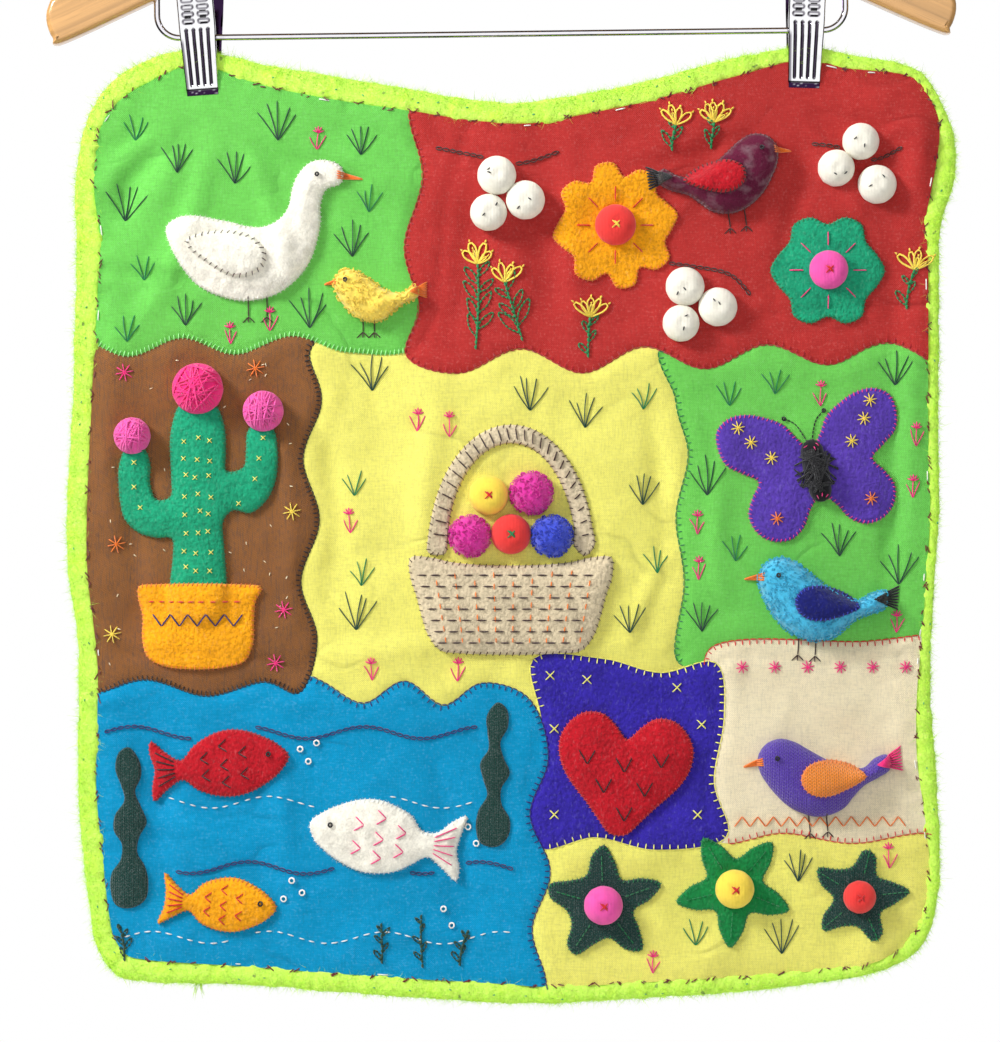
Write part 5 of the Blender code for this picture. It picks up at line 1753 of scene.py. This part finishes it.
def tube(name, points, radius, mat, to=None, sides=18, closed=False):
    """A round wire along points in metres, with rounded ends, as a closed mesh."""
    to = to or Matrix()
    line = np.array(points, float)
    ahead = np.gradient(line, axis=0)
    ahead /= np.linalg.norm(ahead, axis=1)[:, None]
    side = np.cross(ahead, (0, 1, 0))
    side /= np.maximum(np.linalg.norm(side, axis=1), 1e-9)[:, None]
    up = np.cross(side, ahead)
    cap = np.linspace(0.3, 1.3, 3)
    stations = [(line[0] - ahead[0] * radius * math.cos(a), math.sin(a), 0) for a in cap]
    stations += [(line[i], 1.0, i) for i in range(len(line))]
    stations += [(line[-1] + ahead[-1] * radius * math.cos(a), math.sin(a), -1) for a in cap[::-1]]
    verts = []
    for at, share, i in stations:
        for a in np.linspace(0, 2 * math.pi, sides, False):
            verts.append(to @ Vector(at + radius * share * (side[i] * math.cos(a) + up[i] * math.sin(a))))
    faces = ring_faces(len(stations), sides)
    faces += [tuple(range(sides))[::-1], tuple(len(verts) - sides + j for j in range(sides))]
    made = make_object(name, verts, faces, mat, 60)
    turn_out(made)
    return made


def turn_out(made):
    """Turns every face of a closed mesh outward."""
    bm = bmesh.new()
    bm.from_mesh(made.data)
    bmesh.ops.remove_doubles(bm, verts=bm.verts, dist=1e-6)
    bmesh.ops.recalc_face_normals(bm, faces=bm.faces)
    bm.to_mesh(made.data)
    bm.free()


class TEXTILE_OT_hanger(bpy.types.Operator):
    """Make the wooden arms, the hook and the clip bar"""
    bl_idname = "textile.hanger"
    bl_label = "Hanger"

    def execute(self, context):
        self.arms()
        steel = polished_steel("hook_steel", (0.62, 0.62, 0.64), 0.14)
        radius = HOOK_INNER_R + HOOK_WIRE / 2
        turn = [math.radians(a) for a in np.linspace(205, -38, 50)]
        points = [(radius * math.cos(a), 0, radius * math.sin(a) - HOOK_INNER_R) for a in turn]
        start, neck = Vector(points[-1]), Vector((0, 0, NECK_TOP_Z + 0.004))
        leave = Vector((math.sin(turn[-1]), 0, -math.cos(turn[-1]))) * 0.014
        arrive = Vector((0, 0, 0.010))
        for t in np.linspace(0, 1, 24)[1:]:
            points.append(tuple((1 - t) ** 3 * start + 3 * t * (1 - t) ** 2 * (start + leave)
                                + 3 * t * t * (1 - t) * (neck + arrive) + t**3 * neck))
        points.append((0, 0, NECK_TOP_Z - 0.010))
        sewn(tube("hook_wire", points, HOOK_WIRE / 2, steel, leaned()), slot_of("hook"), ["hook"])
        bar = polished_steel("bar_chrome", (0.80, 0.78, 0.82), 0.07)
        bend = [math.radians(a) for a in np.linspace(180, 270, 14)]
        corner_x, corner_z = BAR_HALF_SPAN - BAR_BEND_R, BAR_Z + BAR_BEND_R
        left = [(-BAR_HALF_SPAN, 0, -0.158), (-BAR_HALF_SPAN, 0, -0.166)]
        left += [(BAR_BEND_R * math.cos(a) - corner_x, 0, corner_z + BAR_BEND_R * math.sin(a)) for a in bend]
        middle = [(x, 0, BAR_Z) for x in np.linspace(-0.15, 0.15, 24)]
        right = [(-x, y, z) for x, y, z in left[::-1]]
        sewn(tube("clip_bar_wire", left + middle + right, BAR_WIRE / 2, bar, leaned()), slot_of("clip_bar"),
             ["clip_bar"])
        return {"FINISHED"}

    def arms(self):
        """The arms with well-rounded edges, from their outline in ever smaller rings to both faces."""
        half = HANGER_SPAN / 2
        right = [(0.0, NECK_TOP_Z), (0.013, -0.063), (0.024, -0.071), (0.045, -0.083), (0.090, -0.101),
                 (0.140, -0.123), (0.185, -0.145), (half - 0.006, -0.162), (half - 0.001, -0.1675),
                 (half, -0.175), (half - 0.003, ARM_TIP_Z + 0.002), (half - 0.008, ARM_TIP_Z), (0.170, -0.1655),
                 (0.130, -0.148), (0.080, -0.128), (0.040, -0.115), (0.014, -0.108), (0.0, -0.1065)]
        outline = anticlockwise(spline(right + [(-x, z) for x, z in right[-2:0:-1]], 0.0025))
        normal = outward(outline)
        round_r = 0.0032
        rings = [(round_r * (1 - math.sin(a)), -ARM_THICK / 2 + round_r * (1 - math.cos(a)))
                 for a in np.linspace(0, math.pi / 2, 7)]
        rings += [(inset, -y) for inset, y in rings[::-1]]
        to = leaned()
        verts = [to @ Vector((x - nx * inset, y, z - nz * inset))
                 for inset, y in rings for (x, z), (nx, nz) in zip(outline, normal)]
        faces = ring_faces(len(rings), len(outline))
        rim = (outline - normal * round_r) * 1000
        flat, caps = filled(rim, rim)
        for y in (-ARM_THICK / 2, ARM_THICK / 2):
            faces += [tuple(i + len(verts) for i in cap) for cap in caps]
            verts += [to @ Vector((x / 1000, y, z / 1000)) for x, z in flat]
        wood = varnished_wood("varnished_beech", tuple(colours().wood))
        made = make_object("arms_wood", verts, faces, wood, 40)
        turn_out(made)
        sewn(made, slot_of("hanger_arms"), ["hanger_arms"])


class TEXTILE_OT_clips(bpy.types.Operator):
    """Make the ribbed chrome clips and their springs"""
    bl_idname = "textile.clips"
    bl_label = "Clips"

    def execute(self, context):
        # The dark purple is the painted shade that each plate's points mix in.
        chrome = polished_steel("clip_chrome", (0.86, 0.86, 0.88), 0.10, (0.030, 0.012, 0.045))
        for side, (x, lean, skew) in CLIPS.items():
            to = leaned() @ Matrix.Translation((x, 0, BAR_Z)) @ Matrix.Rotation(HANGER_LEAN - lean, 4, "Y")
            for name, way in (("front", -1), ("back", 1)):
                node = f"clip_{side}_{name}"
                made = self.plate(f"{node}_plate", way, skew if way > 0 else 0.0, chrome, to)
                sewn(made, slot_of(node), [node])
            turns, coil_r, coil_half = 5, 0.00285, 0.0052
            coil = [(coil_half * (2 * t - 1), coil_r * math.cos(2 * math.pi * turns * t),
                     coil_r * math.sin(2 * math.pi * turns * t)) for t in np.linspace(0, 1, 120)]
            sewn(tube(f"clip_{side}_coil", coil, 0.0007, chrome, to, 8), slot_of(f"clip_{side}_spring"),
                 [f"clip_{side}_spring"])
        return {"FINISHED"}

    def relief(self, x, z, half):
        """How far the plate's face stands out at a place on it, in metres, and how much painted shade it has
        there: in the grooves, round the rungs, in the lip with painted glints, and in a band down its lower left
        side.
        """
        grooves = max(math.exp(-(((x - half * g) / 0.00062) ** 4)) for g in CLIP_GROOVES)
        grooves *= float(smoothstep((z + 0.0246) / 0.0012) * smoothstep((0.0032 - z) / 0.001))
        grooves = max(grooves, *(math.exp(-((math.hypot(x - half * g, z - 0.0030) / 0.00085) ** 4))
                                 for g in CLIP_GROOVES))
        # Painted shade: a dark band down the plate's lower left side.
        side = float(smoothstep((0.0018 - half - x) / 0.0006) * smoothstep(-z / 0.004))
        rung = 0.0
        for low in np.arange(0.0062, 0.023, 0.0034):
            for middle in (-0.46, 0.38):
                dx = max(abs(x - half * middle) - 0.0017, 0)
                away = math.hypot(dx, z - low - 0.0009)
                rung = max(rung, math.exp(-(((away - 0.00090) / 0.00042) ** 2)))
        lip = float(smoothstep((-0.0252 - z) / 0.0008))
        # Painted glints: lighter spots in the lip's painted shade.
        painted_glint = 0.5 + noise.noise(Vector((x * 500, z * 1200, 3)))
        return (-0.0006 * grooves - 0.0005 * rung - 0.0007 * lip,
                min(1.0, grooves + rung + lip * min(1.0, 1.2 * painted_glint + 0.75) + 0.75 * side))

    def plate(self, name, way, skew, mat, to):
        rows = np.array(CLIP_ROWS)
        across = 44 if way < 0 else 12
        verts, darks = [], []
        levels = np.arange(rows[0, 0], rows[-1, 0] + 1e-6, 0.00055 if way < 0 else 0.0026)
        for z in levels:
            outer, half, flange = (np.interp(z, rows[:, 0], rows[:, k]) for k in (1, 2, 3))
            aside = skew * (z - levels[0]) / (levels[-1] - levels[0])
            for k in range(across):
                x = half * (2 * k / (across - 1) - 1)
                # Painted shade: the back plate is darkened all over.
                stand, dark = self.relief(x, z, half) if way < 0 else (0.0, 0.35)
                corner = 0.0006 * max(0.0, abs(x) - half + 0.0006) ** 2 / 0.0006**2
                verts.append((x + aside, way * (outer + stand - corner), z))
                darks.append(dark)
            inner = outer - CLIP_PLATE
            rim = ((half, inner - flange), (half - CLIP_PLATE, inner - flange), (half - CLIP_PLATE, inner))
            for x, y in (*rim, *((-x, y) for x, y in rim[::-1])):
                verts.append((x + aside, way * y, z))
                # Painted shade on the folded rims, full on the back plate.
                darks.append(0.4 if way < 0 else 1.0)
        size = across + 2 * len(rim)
        faces = ring_faces(len(levels), size)
        faces += [tuple(range(size)), tuple((len(levels) - 1) * size + i for i in range(size))]
        made = make_object(name, [to @ Vector(v) for v in verts], faces, mat, 55)
        made.data.attributes.new("painted_shade", "FLOAT", "POINT").data.foreach_set("value", darks)
        turn_out(made)
        return made


# The photograph's frame, and where its middle falls on the cloth.
FRAME_WIDTH_M = 0.490
VIEW_MIDDLE = (0.0015, -0.4219)
CAMERA_AWAY = 1.75
SENSOR_MM = 36.0
SOFT_LIGHT = 0.31


class TEXTILE_OT_stage(bpy.types.Operator):
    """Set the pale floor, the soft lights and the camera"""
    bl_idname = "textile.stage"
    bl_label = "Stage"

    def execute(self, context):
        half, level = 2, -1.3
        corners = [(-half, -half, level), (half, -half, level), (half, half, level), (-half, half, level)]
        floor = make_object("floor", corners, [(0, 1, 2, 3)], None)
        paint = Finish("pale_floor", tuple(colours().floor), 0.9)
        paint.mottle(paint.grain(3, detail=3), 0.4, 0.8, 0.2, (0.84, 0.84, 0.83))
        floor.data.materials.append(paint.done(0.1))
        floor.visible_glossy = False
        self.light("key", (-1.25, -0.80, 0.55), 0.5, 33.0)
        self.light("front", (0.1, -1.9, 0.1), 1.6, 9.0)
        self.light("top", (0.2, 0.1, 1.3), 2.2, 22.0)
        self.light("back", (0.4, 1.9, 0.1), 1.6, 14.0)
        self.world(context.scene)
        eye = bpy.data.cameras.new("camera")
        eye.sensor_fit = "HORIZONTAL"
        eye.sensor_width = SENSOR_MM
        eye.lens = SENSOR_MM * CAMERA_AWAY / FRAME_WIDTH_M
        camera = linked("camera", eye)
        camera.location = (VIEW_MIDDLE[0], -CAMERA_AWAY, VIEW_MIDDLE[1])
        camera.rotation_euler = (math.pi / 2, 0, 0)
        context.scene.camera = camera
        context.scene.view_settings.view_transform = "Standard"
        return {"FINISHED"}

    def light(self, name, at, size, power):
        lamp = bpy.data.lights.new(name, "AREA")
        lamp.shape = "DISK"
        lamp.size = size
        lamp.energy = power
        made = linked(name, lamp)
        made.location = at
        aim = Vector((0, 0, VIEW_MIDDLE[1])) - Vector(at)
        made.rotation_euler = aim.to_track_quat("-Z", "Y").to_euler()
        made.visible_glossy = name == "key"

    def world(self, scene):
        """White all round, dimmer as a light than as a background. Metal sees white cards before and
        behind it."""
        world = bpy.data.worlds.new("white_room")
        scene.world = world
        world.use_nodes = True
        room = Nodes(world.node_tree)
        back = room.tree.nodes["Background"]
        back.inputs["Color"].default_value = (1, 1, 1, 1)
        path = room.node("ShaderNodeLightPath").outputs
        way = room.node("ShaderNodeTexCoord").outputs["Generated"]
        way = room.node("ShaderNodeSeparateXYZ", {0: way}).outputs["Y"]
        card = room.ramp(room.maths("ABSOLUTE", way), 0.62, 0.82, 0.01, 1.2)
        around = room.ramp(path["Is Glossy Ray"], 0, 1, SOFT_LIGHT, card)
        seen = room.ramp(path["Is Camera Ray"], 0, 1, around, 1)
        room.tree.links.new(seen, back.inputs["Strength"])


class TEXTILE_PT_panel(bpy.types.Panel):
    """Lists the steps that dress the textile"""
    bl_idname = "TEXTILE_PT_panel"
    bl_label = "Wall textile"
    bl_space_type = "VIEW_3D"
    bl_region_type = "UI"
    bl_category = "Textile"

    def draw(self, context):
        for settings in (context.scene.textile_sizes, context.scene.textile_colours):
            for key in settings.bl_rna.properties.keys():
                if key not in ("rna_type", "name"):
                    self.layout.prop(settings, key)
        for step in STEPS:
            self.layout.operator(step.bl_idname)


STEPS = (TEXTILE_OT_stage, TEXTILE_OT_backing, TEXTILE_OT_ground, TEXTILE_OT_edging, TEXTILE_OT_figures,
         TEXTILE_OT_balls, TEXTILE_OT_seams, TEXTILE_OT_embroidery, TEXTILE_OT_hanger, TEXTILE_OT_clips)
CLASSES = (TextileSizes, TextileColours, *STEPS, TEXTILE_PT_panel)


def register():
    for made in CLASSES:
        bpy.utils.register_class(made)
    bpy.types.Scene.textile_sizes = bpy.props.PointerProperty(type=TextileSizes)
    bpy.types.Scene.textile_colours = bpy.props.PointerProperty(type=TextileColours)


def unregister():
    del bpy.types.Scene.textile_sizes
    del bpy.types.Scene.textile_colours
    for made in reversed(CLASSES):
        bpy.utils.unregister_class(made)


def main():
    register()
    for step in STEPS:
        group, action = step.bl_idname.split(".")
        getattr(getattr(bpy.ops, group), action)()


if __name__ == "__main__":
    main()
